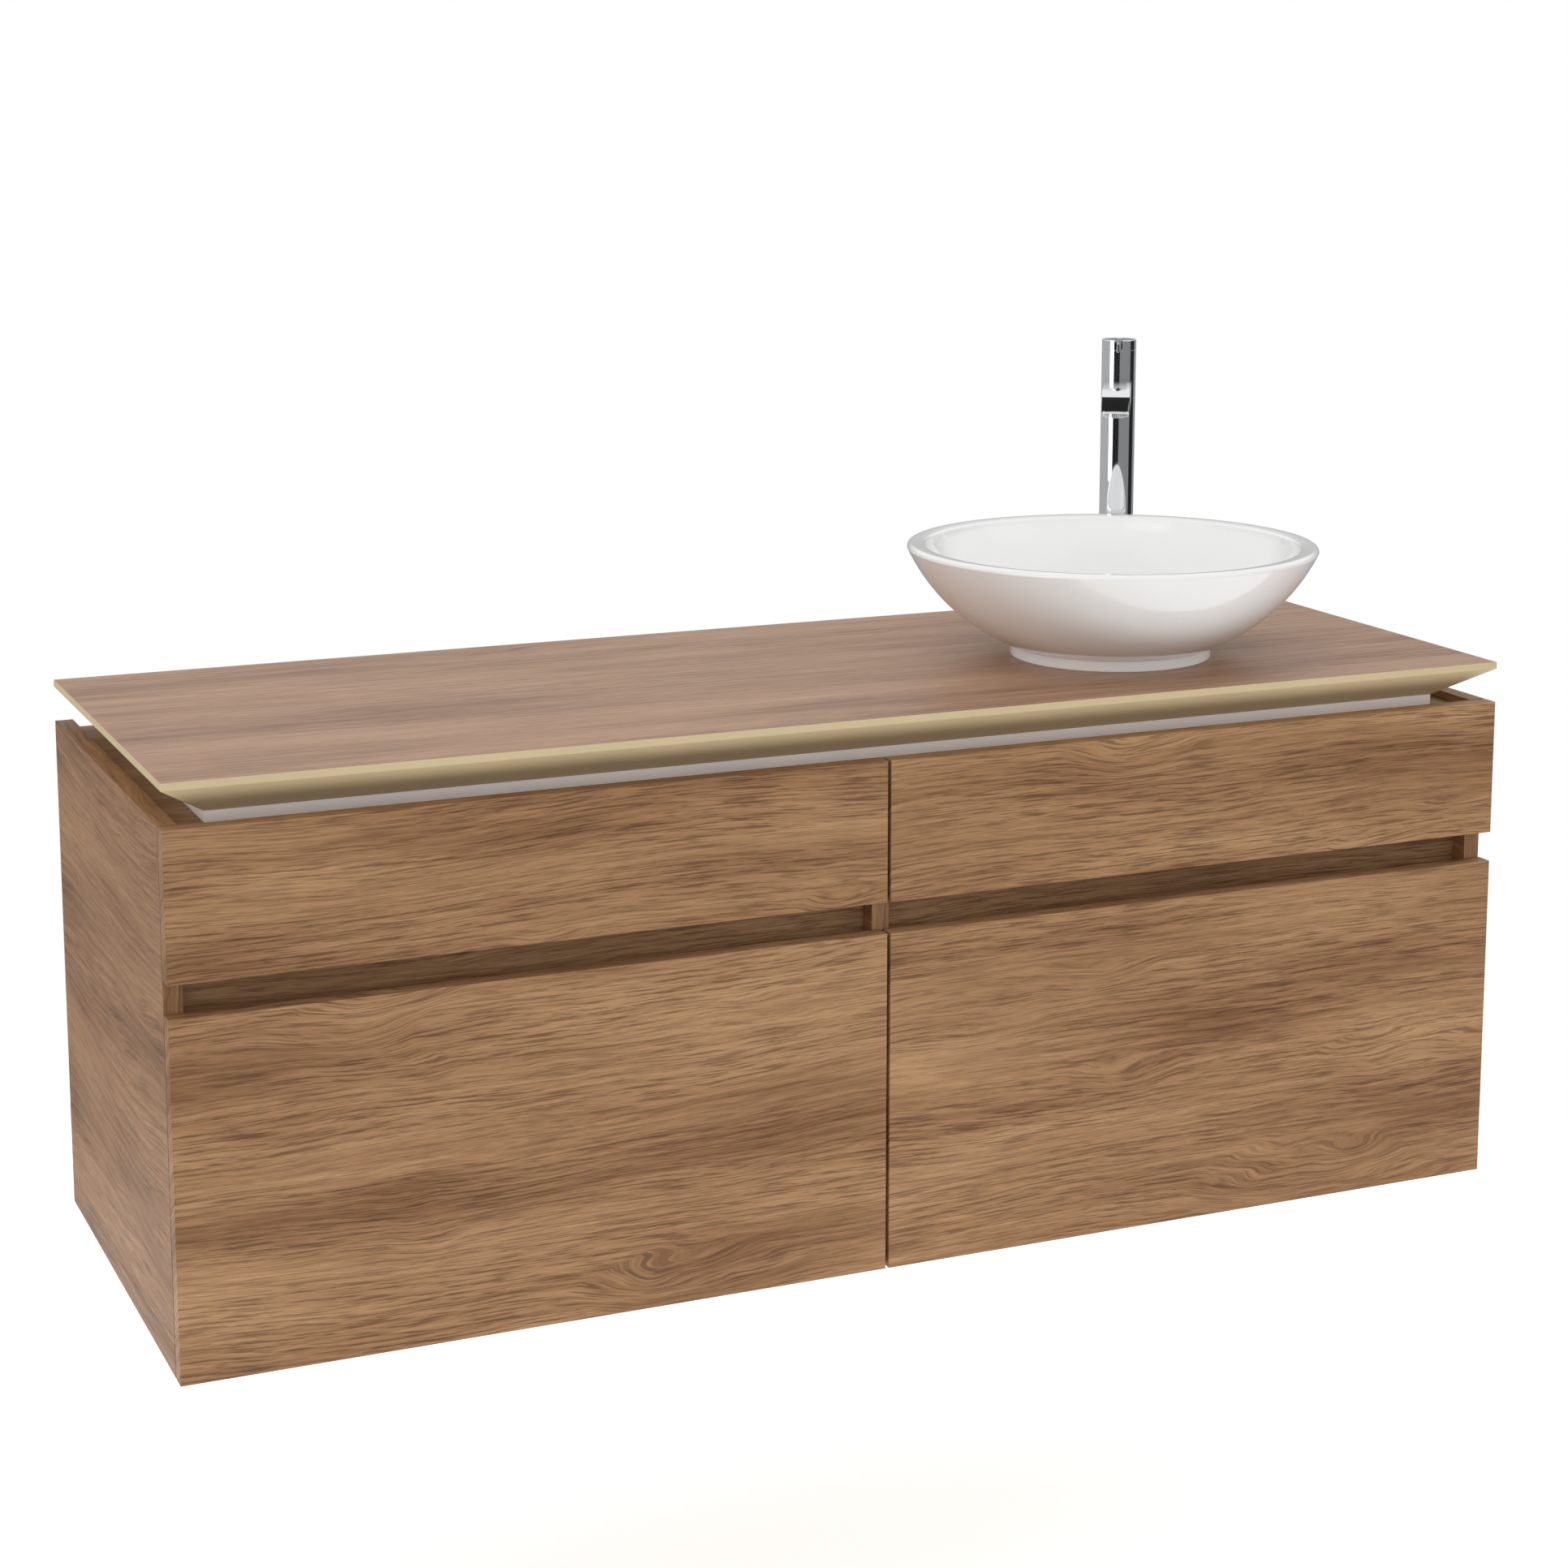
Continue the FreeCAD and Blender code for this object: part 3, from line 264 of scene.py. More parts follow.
def wood(name, along, shift, dark, mid, light, pore=0.72, drift=0.07, roughness=0.46):
    """Oak decor with its grain along an axis. Shift moves the figure, and pore is how dark the pores are."""
    material, tree, shader, place = blank(name)
    flow = grain_flow(tree, place, along, shift, drift)
    wide = stretched_noise(tree, flow, WIDE_CELLS, 2)
    rings = stretched_noise(tree, flow, RING_CELLS, 4, 0.72)
    bunch_noise = stretched_noise(tree, flow, BUNCH_CELLS, 2)
    bunches = spread(tree, bunch_noise, *BUNCH_LEVELS)
    pore_noise = stretched_noise(tree, flow, PORE_CELLS, 3, 0.65)
    pores = spread(tree, pore_noise, *PORE_LEVELS)
    fibre = stretched_noise(tree, flow, FIBRE_CELLS, 1)

    ring_part = calculate(tree, "MULTIPLY", rings, RING_SHARE)
    blend = calculate(tree, "MULTIPLY_ADD", wide, WIDE_SHARE, ring_part)
    ramp = add(tree, "ShaderNodeValToRGB")
    stops = ramp.color_ramp.elements
    stops[0].position = TONE_STOPS[0]
    stops[0].color = dark
    stops[1].position = TONE_STOPS[2]
    stops[1].color = light
    middle = stops.new(TONE_STOPS[1])
    middle.color = mid
    feed(tree, blend, ramp, "Fac")
    pored = add(tree, "ShaderNodeMix", data_type="RGBA", blend_type="MULTIPLY")
    bunched = calculate(tree, "MULTIPLY", pores, bunches)
    strength = calculate(tree, "MULTIPLY", bunched, pore)
    feed(tree, strength, pored, "Factor")
    tree.links.new(ramp.outputs["Color"], pored.inputs[6])
    pored.inputs[7].default_value = PORE_TONE
    fibred = add(tree, "ShaderNodeHueSaturation")
    lift = spread(tree, fibre, *FIBRE_LEVELS)
    feed(tree, lift, fibred, "Value")
    tree.links.new(pored.outputs[2], fibred.inputs["Color"])
    wire(tree, fibred, "Color", shader, "Base Color")

    sheen = spread(tree, rings, 0.35, 0.65, roughness + 0.06, roughness - 0.04)
    feed(tree, sheen, shader, "Roughness")
    relief(tree, shader, calculate(tree, "SUBTRACT", fibre, pores), 0.35, PORE_DEPTH)
    shader.inputs["Specular IOR Level"].default_value = 0.25
    return material


fronts = ["upper_left", "upper_right", "lower_left", "lower_right"]
front_oak = {}
for index, name in enumerate(fronts):
    front_oak[name] = wood(f"oak_front_{name}", "x", (3.1 * index, 0.37 * index + 0.2), **FRONT_TONES)
side_oak = wood("oak_side", "y", (7.3, 1.45), drift=0.12, pore=0.5, **SIDE_TONES)
upright_oak = wood("oak_upright_edge", "z", (2.2, 5.1), pore=0.4, **FRONT_TONES)
rail_oak = wood("oak_rail", "x", (11.4, 3.3), **FRONT_TONES)
board_oak = wood("oak_board", "x", (15.9, 2.7), **FRONT_TONES)
worktop_oak = wood("oak_worktop", "x", (21.7, 0.9), drift=0.02, pore=0.32, roughness=0.36, **WORKTOP_TONES)
oaks = [*front_oak.values(), side_oak, upright_oak, rail_oak, board_oak, worktop_oak]
print("oak finishes:", len(oaks))

# %% [markdown]
# ## The other finishes
# Lacquer, powder coat, moulded plastic and zinc all follow one recipe: a base colour that drifts a little,
# a roughness that drifts with it, and a fine bump at the size of the real surface's texture. The grain size
# is what tells them apart: a lacquer's orange peel is about a millimetre across, and the crystals on zinc
# are several times that.

# %% Plain finishes
def finish(name, colour, roughness, metallic=0.0, drift=0.04, grain=900.0, peel=0.02, patch=9.0, **sockets):
    """A plain finish. Drift is the change of colour over patches, grain the texture's cells in a metre."""
    material, tree, shader, place = blank(name)
    patches = stretched_noise(tree, (place, "Object"), (patch, patch, patch), 3)
    fine = stretched_noise(tree, (place, "Object"), (grain, grain, grain), 2)
    patch_share = calculate(tree, "MULTIPLY", patches, 0.6)
    fine_share = calculate(tree, "MULTIPLY", fine, 0.4)
    both = calculate(tree, "ADD", patch_share, fine_share)
    tint(tree, shader, colour, spread(tree, both, 0.3, 0.7, 1 - drift, 1 + drift))
    sheen = spread(tree, both, 0.3, 0.7, max(0.0, roughness - 0.04), roughness + 0.04)
    feed(tree, sheen, shader, "Roughness")
    relief(tree, shader, fine, 0.5, peel * MM)
    shader.inputs["Metallic"].default_value = metallic
    for socket, value in sockets.items():
        shader.inputs[socket.replace("_", " ")].default_value = value
    return material


champagne = finish("champagne_lacquer", tone(208, 188, 148), 0.55, drift=0.05, grain=1100)
spacer_white = finish("spacer_white", tone(248, 242, 239), 0.5, drift=0.035, grain=700, peel=0.05)
carcass = finish("carcass_melamine", tone(205, 198, 188), 0.5, drift=0.05, grain=500, peel=0.04)
powder_tone = tone(196, 198, 200)
powder = finish("drawer_powder_coat", powder_tone, 0.38, metallic=0.3, drift=0.03, grain=1600, peel=0.06)
zinc_tone = tone(186, 190, 194)
zinc = finish("zinc_steel", zinc_tone, 0.32, metallic=0.95, drift=0.09, grain=260, peel=0.01, patch=60.0)
grey_plastic = finish("grey_plastic", tone(140, 141, 143), 0.45, drift=0.03, grain=1400, peel=0.03)
white_plastic = finish("white_plastic", tone(232, 232, 229), 0.3, drift=0.02, grain=800, peel=0.01)
rubber = finish("black_rubber", tone(38, 38, 39), 0.6, drift=0.08, grain=1200, peel=0.04)
brass = finish("raw_brass", tone(205, 172, 98), 0.28, metallic=1.0, drift=0.08, grain=420, peel=0.01)
chrome = finish("polished_chrome", tone(236, 237, 239), 0.045, metallic=1.0, drift=0.01, grain=40, peel=0.002)
print("plain finishes:", champagne.name, spacer_white.name, chrome.name)

# %% [markdown]
# ## Glaze
# The bowl's glaze is a clear, very smooth skin over a white body. The principled shader has both: a diffuse
# white base, and a coat on top that gives the sharp reflections. The glaze pooled a little unevenly as it
# melted, so a very shallow, wide bump bends the reflections slightly.

# %% Glaze
GLAZE_WAVE = 0.05 * MM
GLAZE_TONE = tone(245, 245, 244)


def glaze(name):
    """White vitreous china with a clear glaze."""
    material, tree, shader, place = blank(name)
    pooled = stretched_noise(tree, (place, "Object"), (14, 14, 14), 2)
    speck = stretched_noise(tree, (place, "Object"), (600, 600, 600), 1)
    tint(tree, shader, GLAZE_TONE, spread(tree, speck, 0.3, 0.7, 0.985, 1.0))
    sheen = spread(tree, pooled, 0.3, 0.7, 0.10, 0.16)
    feed(tree, sheen, shader, "Roughness")
    relief(tree, shader, pooled, 0.4, GLAZE_WAVE)
    shader.inputs["Coat Weight"].default_value = 0.6
    shader.inputs["Coat Roughness"].default_value = 0.03
    return material


ceramic = glaze("white_glaze")
print("glaze:", ceramic.name)

# %% [markdown]
# ## Linen decor
# The drawers' bottoms and backs are covered with a pale grey linen decor: two sets of fine threads that
# cross. Each set is noise drawn out along one axis, and the darker of the two wins, as where one thread
# passes over another.

# %% Linen decor
THREADS = 620.0
THREAD_LENGTH = 24.0
THREAD_RELIEF = 0.06 * MM


def linen(name, colour):
    """Two crossing sets of threads on a board."""
    material, tree, shader, place = blank(name)
    warp = stretched_noise(tree, (place, "Object"), (THREADS, THREAD_LENGTH, THREADS), 1)
    weft = stretched_noise(tree, (place, "Object"), (THREAD_LENGTH, THREADS, THREADS), 1)
    weave = calculate(tree, "MINIMUM", warp, weft)
    tint(tree, shader, colour, spread(tree, weave, 0.25, 0.6, 0.86, 1.08))
    relief(tree, shader, weave, 0.4, THREAD_RELIEF)
    shader.inputs["Roughness"].default_value = 0.55
    return material


drawer_linen = linen("drawer_linen", tone(196, 194, 190))
print("linen:", drawer_linen.name)

# %% [markdown]
# ## Boards with eased edges
# No real board has a perfectly sharp edge: the banding is rounded by about half a millimetre, and that thin
# round catches the light and draws the board's outline. A copy of each board is cleaned (its loose
# triangles are joined and its flat faces merged), and a Bevel modifier rounds what is left. The modifier
# stays live, so its width could still be changed.

# %% Eased copies
SHARP = math.radians(30)
FLAT = math.radians(0.5)
TOUCHING = 0.001 * MM


def stand_in(piece, *stood_for):
    """Let a finished piece ride with the body of the first CAD piece and stand for the CAD pieces."""
    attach(piece, body_of_node[stood_for[0]])
    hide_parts(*stood_for)
    return piece


def new_piece(name, mesh, *materials):
    """An object at the origin for a mesh whose place is in its points."""
    for material in materials:
        mesh.materials.append(material)
    piece = bpy.data.objects.new(name, mesh)
    bpy.context.scene.collection.objects.link(piece)
    return piece


def joined_copy(node):
    """A CAD piece's triangles joined into clean faces."""
    work = bmesh.new()
    work.from_mesh(nodes[node].data)
    bmesh.ops.remove_doubles(work, verts=work.verts, dist=TOUCHING)
    bmesh.ops.dissolve_limit(work, angle_limit=FLAT, verts=work.verts, edges=work.edges)
    return work


def ease(piece, radius, segments=2):
    """Round a piece's sharp edges with a live bevel."""
    bevel = piece.modifiers.new("eased_edges", "BEVEL")
    bevel.width = radius
    bevel.segments = segments
    bevel.limit_method = "ANGLE"
    bevel.angle_limit = SHARP
    bevel.harden_normals = True
    return piece


def eased(node, material, radius=0.4 * MM, edge_material=None, segments=2):
    """A copy of a CAD piece with eased edges. Faces to the front and back may have a finish of their own."""
    work = joined_copy(node)
    if edge_material:
        for face in work.faces:
            face.material_index = 1 if abs(face.normal.y) > 0.9 else 0
    for face in work.faces:
        face.smooth = True
    mesh = bpy.data.meshes.new(f"{node}_eased")
    work.to_mesh(mesh)
    work.free()
    mesh.set_sharp_from_angle(angle=SHARP)
    materials = [material] + ([edge_material] if edge_material else [])
    piece = ease(new_piece(f"{node}_eased", mesh, *materials), radius, segments)
    return stand_in(piece, node)


print("one board's faces:", len(joined_copy("spacer_board").faces))

# %% [markdown]
# ## Cabinet
# The drawer fronts come first, because they are what is seen. Each gets its own figure. The side panels
# have their grain along the depth, and their front edges, which show in the grip gap, have an upright
# grain.

# %% Fronts, sides and rails
for name in fronts:
    eased(f"{name}_drawer_front", front_oak[name], 0.45 * MM, segments=3)
for side in ("left", "right"):
    eased(f"side_panel_{side}", side_oak, 0.5 * MM, upright_oak)
    eased(f"grip_rail_{side}", rail_oak)
    eased(f"bottom_panel_{side}", board_oak)
    eased(f"hanging_rail_{side}", carcass)
    eased(f"back_panel_{side}", carcass, 0.2 * MM)
eased("centre_partition", side_oak, 0.4 * MM, upright_oak)
eased("top_board", board_oak)
print("fronts:", ", ".join(fronts))

# %% [markdown]
# ## Worktop
# The countertop is a board whose underside slopes back, lacquered in champagne, with the wood decor let
# into its top. A thin white spacer board holds it off the cabinet, so that it seems to float.

# %% Worktop
eased("spacer_board", spacer_white, 0.4 * MM)
eased("countertop_core", champagne, 0.3 * MM)
eased("countertop_laminate", worktop_oak, 0.05 * MM, segments=1)
board_low, board_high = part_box("countertop_core")
print("worktop:", [round(x, 3) for x in board_high - board_low])

# %% [markdown]
# ## Drawers and runners
# Inside, the drawers have metal sides in a pale powder coat, linen-covered bottoms and backs, and
# zinc-plated runners. They show when a drawer is pulled out.

# %% Drawer boxes
for name in fronts:
    for hand in ("left", "right"):
        eased(f"{name}_drawer_side_{hand}", powder, 0.35 * MM)
    eased(f"{name}_drawer_bottom", drawer_linen, 0.3 * MM)
    eased(f"{name}_drawer_back", drawer_linen, 0.4 * MM)
    eased(f"{name}_drawer_runners", zinc, 0.2 * MM, segments=1)
eased("runners_fixed", zinc, 0.2 * MM, segments=1)
eased("wall_brackets", zinc, 0.4 * MM)
eased("upper_right_drawer_pipe_guard", grey_plastic, 0.4 * MM)
print("drawer boxes:", len(fronts))

# %% [markdown]
# ## Arcs
# Several outlines below have round stretches. Each is told by its two ends and its bulge, which is how far
# it stands out from the straight line between them.

# %% Arcs
def arc(start, end, bulge, steps):
    """Points from start up to end on an arc that stands out to the right of its chord by bulge."""
    start, end = Vector(start), Vector(end)
    chord = end - start
    half = chord.length / 2
    signed = (half ** 2 + bulge ** 2) / (2 * bulge)
    radius = abs(signed)
    right = Vector((chord.y, -chord.x)).normalized()
    centre = (start + end) / 2 - right * (signed - bulge)
    begin = math.atan2(start.y - centre.y, start.x - centre.x)
    turn = 2 * math.asin(min(1.0, half / radius))
    sense = 1 if bulge > 0 else -1
    points = []
    for step in range(steps):
        angle = begin + sense * turn * (step / steps)
        points.append((centre.x + radius * math.cos(angle), centre.y + radius * math.sin(angle)))
    return points


quarter = arc((1, 0), (0, 1), 0.29, 3)
print("a quarter turn's first points:", [[round(x, 2) for x in point] for point in quarter])

# %% [markdown]
# ## Running a tree of Geometry Nodes
# A tree is built once, with named inputs, and then used on as many pieces as need it. A modifier knows each
# input by an identifier instead of its name. Its result is kept as a plain mesh, and the modifier goes.

# %% Tree helpers
def empty_tree(name, sizes, result):
    """A geometry tree with named inputs, one named output, and nothing between them yet."""
    tree = bpy.data.node_groups.new(name, "GeometryNodeTree")
    for title, kind in sizes.items():
        tree.interface.new_socket(title, in_out="INPUT", socket_type=f"NodeSocket{kind}")
    tree.interface.new_socket(result, in_out="OUTPUT", socket_type="NodeSocketGeometry")
    return tree, add(tree, "NodeGroupInput"), add(tree, "NodeGroupOutput")


def socket_id(tree, name):
    """The identifier that a modifier knows a tree's input by."""
    sockets = [item for item in tree.interface.items_tree if item.in_out == "INPUT"]
    return next(socket.identifier for socket in sockets if socket.name == name)


def settled(piece):
    """Keep what a piece's modifiers make as a plain mesh."""
    graph = bpy.context.evaluated_depsgraph_get()
    mesh = bpy.data.meshes.new_from_object(piece.evaluated_get(graph), depsgraph=graph)
    piece.modifiers.clear()
    piece.data = mesh
    return piece


def baked(piece, tree, **values):
    """Run a tree on a piece once and keep the result as a plain mesh."""
    modifier = piece.modifiers.new("made_by_nodes", "NODES")
    modifier.node_group = tree
    for name, value in values.items():
        modifier[socket_id(tree, name)] = value
    return settled(piece)


print("tree helpers ready")

# %% [markdown]
# ## The lathe
# The bowl, the tap's column and the trap's cup are round, so each is one outline swept round an axis.
# Geometry Nodes do just that: the outline becomes a curve, Curve to Mesh carries it round a circle, and
# merging closes the seam and the middle. The outline needs only the corners and arcs of the section, and
# the sweep can be as fine as wanted, which matters on a glossy surface.

# %% The lathe
LATHE_START = 1.0
SEAM = 0.002 * MM
FINE_TURN = 256
ROUND_TURN = 96


def lathe_tree():
    """Sweeps the outline it is given round the upright axis."""
    sizes = {"Outline": "Geometry", "Segments": "Int", "Finish": "Material"}
    tree, inputs, output = empty_tree("lathe", sizes, "Turned piece")
    outline = add(tree, "GeometryNodeMeshToCurve")
    circle = add(tree, "GeometryNodeCurvePrimitiveCircle", {"Radius": LATHE_START})
    upright = add(tree, "GeometryNodeSetCurveNormal", mode="Z_UP")
    sweep = add(tree, "GeometryNodeCurveToMesh")
    merge = add(tree, "GeometryNodeMergeByDistance", {"Distance": SEAM})
    paint = add(tree, "GeometryNodeSetMaterial")
    real = add(tree, "GeometryNodeRealizeInstances")
    wire(tree, inputs, "Outline", outline, "Mesh")
    wire(tree, inputs, "Segments", circle, "Resolution")
    wire(tree, circle, "Curve", upright, "Curve")
    wire(tree, upright, "Curve", sweep, "Curve")
    wire(tree, outline, "Curve", sweep, "Profile Curve")
    wire(tree, sweep, "Mesh", merge, "Geometry")
    wire(tree, merge, "Geometry", real, "Geometry")
    wire(tree, real, "Geometry", paint, "Geometry")
    wire(tree, inputs, "Finish", paint, "Material")
    wire(tree, paint, "Geometry", output, "Turned piece")
    return tree


LATHE = lathe_tree()


def turned(name, outline, axis, material, segments, closed=True):
    """A turned piece from its outline of (radius, height) in metres, stood on an axis (x, y)."""
    mesh = bpy.data.meshes.new(name)
    points = [(radius - LATHE_START, -height, 0) for radius, height in outline]
    links = [(index, index + 1) for index in range(len(points) - 1)]
    if closed:
        links.append((len(points) - 1, 0))
    mesh.from_pydata(points, links, [])
    piece = new_piece(name, mesh)
    baked(piece, LATHE, Segments=segments, Finish=material)
    work = bmesh.new()
    work.from_mesh(piece.data)
    bmesh.ops.remove_doubles(work, verts=work.verts, dist=SEAM)
    bmesh.ops.translate(work, verts=work.verts, vec=(axis[0], axis[1], 0))
    bmesh.ops.recalc_face_normals(work, faces=work.faces)
    for face in work.faces:
        face.smooth = True
    work.to_mesh(piece.data)
    work.free()
    piece.data.set_sharp_from_angle(angle=SHARP)
    return piece


trial = turned("trial", [(0.01, 0.0), (0.02, 0.0), (0.02, 0.05), (0.01, 0.05)], (0, 0), ceramic, 32)
print("a trial ring measures", [round(x, 3) for x in trial.dimensions])
bpy.data.objects.remove(trial)

# %% [markdown]
# ## Bowl
# The bowl is cast in vitreous china with a thick, nearly flat rim, and it stands on a foot ring that is
# much narrower than the rim. Its section needs only the corners and arcs named here. The outside swells
# outwards between foot and rim. The inside swells the same way, which on the way down is to the left, so
# its bulge is negative.

# %% Bowl
basin_low, basin_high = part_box("basin")
BASIN_AXIS = ((basin_low.x + basin_high.x) / 2, (basin_low.y + basin_high.y) / 2)
WORKTOP_TOP = basin_low.z
RIM = (basin_high.x - basin_low.x) / 2
BOWL_HEIGHT = basin_high.z - basin_low.z
RIM_WIDTH = 20 * MM
RIM_ROUND = 5 * MM
RIM_EDGE = 3.6 * MM
RIM_FALL = 1.2 * MM
FOOT = 105.5 * MM
FOOT_WIDTH = 14 * MM
FOOT_HEIGHT = 11.5 * MM
BOWL_FLOOR = (75 * MM, 26 * MM)
DRAIN_SEAT = (33 * MM, 19.6 * MM)
DRAIN_HOLE = 23 * MM
UNDERSIDE = 8 * MM
QUARTER = 1 - math.sqrt(0.5)
OUTER_BULGE = 14.2 * MM
INNER_BULGE = 20.9 * MM
SWEEP_STEPS = 28
ROUND_STEPS = 8
FOOT_BEVEL = 1 * MM
FOOT_EASE = 0.8 * MM
FOOT_GROOVE = (0.7 * MM, 0.6 * MM)
FLOOR_EASE = (6 * MM, 0.9 * MM)
SEAT_LIP = (1.5 * MM, 2.9 * MM)
SEAT_DEPTH = 2 * MM


def bowl_outline():
    """The bowl's section: out under the foot, up the outside, over the rim and down the inside."""
    top = WORKTOP_TOP
    inner = RIM - RIM_WIDTH
    lip = top + BOWL_HEIGHT - RIM_FALL
    shoulder = (RIM, top + BOWL_HEIGHT - RIM_ROUND)
    foot_inside = FOOT - FOOT_WIDTH
    floor = (BOWL_FLOOR[0], top + BOWL_FLOOR[1])
    seat = top + DRAIN_SEAT[1]
    outline = [(DRAIN_HOLE, top + UNDERSIDE), (foot_inside, top + UNDERSIDE)]
    outline += [(foot_inside, top + FOOT_BEVEL), (foot_inside + FOOT_BEVEL, top)]
    outline += [(FOOT - FOOT_EASE, top), (FOOT, top + FOOT_EASE)]
    outline += [(FOOT, top + FOOT_HEIGHT - FOOT_GROOVE[1])]
    outline += arc((FOOT + FOOT_GROOVE[0], top + FOOT_HEIGHT), shoulder, OUTER_BULGE, SWEEP_STEPS)
    outline += arc(shoulder, (RIM - RIM_ROUND, top + BOWL_HEIGHT), RIM_ROUND * QUARTER, ROUND_STEPS)
    outline += [(RIM - RIM_ROUND, top + BOWL_HEIGHT)]
    outline += arc((inner + RIM_EDGE, lip), (inner, lip - RIM_EDGE), RIM_EDGE * QUARTER, ROUND_STEPS)
    outline += arc((inner, lip - RIM_EDGE), floor, -INNER_BULGE, SWEEP_STEPS)
    outline += [(BOWL_FLOOR[0] - FLOOR_EASE[0], top + BOWL_FLOOR[1] - FLOOR_EASE[1])]
    outline += [(DRAIN_SEAT[0] + SEAT_LIP[0], seat + SEAT_LIP[1]), (DRAIN_SEAT[0], seat + SEAT_DEPTH)]
    outline += [(DRAIN_SEAT[0], seat), (DRAIN_HOLE, seat)]
    return outline


bowl = turned("bowl_glazed", bowl_outline(), BASIN_AXIS, ceramic, FINE_TURN)
stand_in(bowl, "basin")
print("bowl:", [round(x, 4) for x in bowl.dimensions], "faces", len(bowl.data.polygons))

# %% [markdown]
# ## Ribs and pieces cut by others
# The tap's column and spout are one casting, so they have to become one surface: a Boolean modifier joins
# the turned column and the spout, and a second one cuts the lever's slot into the cap. Screwed rings have
# ribs for the fingers. Those are a repeat, and Geometry Nodes set one small bar at every point of a circle.

# %% Ribs and booleans
def rib_tree():
    """Sets upright bars in a ring and joins them to the piece."""
    sizes = {"Piece": "Geometry", "Count": "Int", "Ring radius": "Float", "Centre": "Vector"}
    sizes |= {"Rib radius": "Float", "Rib height": "Float", "Finish": "Material"}
    tree, inputs, output = empty_tree("ribs", sizes, "Ribbed piece")
    ring = add(tree, "GeometryNodeMeshCircle")
    lifted = add(tree, "GeometryNodeTransform")
    bar = add(tree, "GeometryNodeMeshCylinder", {"Vertices": 8})
    smooth = add(tree, "GeometryNodeSetShadeSmooth")
    spots = add(tree, "GeometryNodeInstanceOnPoints")
    both = add(tree, "GeometryNodeJoinGeometry")
    real = add(tree, "GeometryNodeRealizeInstances")
    paint = add(tree, "GeometryNodeSetMaterial")
    wire(tree, inputs, "Count", ring, "Vertices")
    wire(tree, inputs, "Ring radius", ring, "Radius")
    wire(tree, ring, "Mesh", lifted, "Geometry")
    wire(tree, inputs, "Centre", lifted, "Translation")
    wire(tree, inputs, "Rib radius", bar, "Radius")
    wire(tree, inputs, "Rib height", bar, "Depth")
    wire(tree, bar, "Mesh", smooth, "Geometry")
    wire(tree, lifted, "Geometry", spots, "Points")
    wire(tree, smooth, "Geometry", spots, "Instance")
    wire(tree, spots, "Instances", both, "Geometry")
    wire(tree, inputs, "Piece", both, "Geometry")
    wire(tree, both, "Geometry", real, "Geometry")
    wire(tree, real, "Geometry", paint, "Geometry")
    wire(tree, inputs, "Finish", paint, "Material")
    wire(tree, paint, "Geometry", output, "Ribbed piece")
    return tree


RIBS = rib_tree()


def ribbed(piece, material, count, ring, centre, rib, height):
    """Ribs round a turned piece, in metres."""
    values = {"Count": count, "Ring radius": ring, "Centre": centre, "Rib radius": rib, "Rib height": height}
    return baked(piece, RIBS, Finish=material, **values)


def merged(piece, tool, operation):
    """Join a tool to a piece, or cut it out, and keep only the result."""
    step = piece.modifiers.new("merge", "BOOLEAN")
    step.operation = operation
    step.solver = "EXACT"
    step.object = tool
    settled(piece).data.set_sharp_from_angle(angle=SHARP)
    bpy.data.objects.remove(tool)
    return piece


print("ribs read", [item.name for item in RIBS.interface.items_tree if item.in_out == "INPUT"])

# %% [markdown]
# ## Tap
# All the tap's sizes are measured upwards from the worktop and outwards from its axis, and the whole is
# turned so that the spout points at the middle of the bowl.

# %% Places on the tap
cap_low, cap_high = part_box("tap_cap")
TAP_AXIS = ((cap_low.x + cap_high.x) / 2, (cap_low.y + cap_high.y) / 2)
TAP_RADIUS = (cap_high.x - cap_low.x) / 2
TAP_TOP = cap_high.z
TAP_TURN = math.radians(30.5)


def on_tap(across, forwards, height):
    """A place on the tap, from its axis: to the right of the spout, along the spout, and up."""
    x = TAP_AXIS[0] + across * math.cos(TAP_TURN) - forwards * math.sin(TAP_TURN)
    y = TAP_AXIS[1] - across * math.sin(TAP_TURN) - forwards * math.cos(TAP_TURN)
    return (x, y, height)


def ribbon_solid(name, sections, material):
    """A closed solid through sections that each have the same number of points."""
    count = len(sections[0])
    points = [point for section in sections for point in section]
    faces = [tuple(range(count)), tuple(reversed(range(len(points) - count, len(points))))]
    for row in range(len(sections) - 1):
        for side in range(count):
            here, there = row * count + side, row * count + (side + 1) % count
            faces.append((here, here + count, there + count, there))
    work = bmesh.new()
    corners = [work.verts.new(point) for point in points]
    for face in faces:
        work.faces.new([corners[index] for index in face]).smooth = True
    bmesh.ops.recalc_face_normals(work, faces=work.faces)
    mesh = bpy.data.meshes.new(name)
    work.to_mesh(mesh)
    work.free()
    mesh.set_sharp_from_angle(angle=SHARP)
    return new_piece(name, mesh, material)


tap_height = TAP_TOP - WORKTOP_TOP
print("the tap stands at", [round(x, 3) for x in TAP_AXIS], "and is", round(tap_height, 3), "m high")

# %% [markdown]
# ## Column and spout
# A mirror finish shows every facet, so the column has 256 sides, and the spout's lower edges are true
# rounds. The spout's bevel leaves its normals alone, because normals that it stored would outlive the union
# and bend the column's reflections.

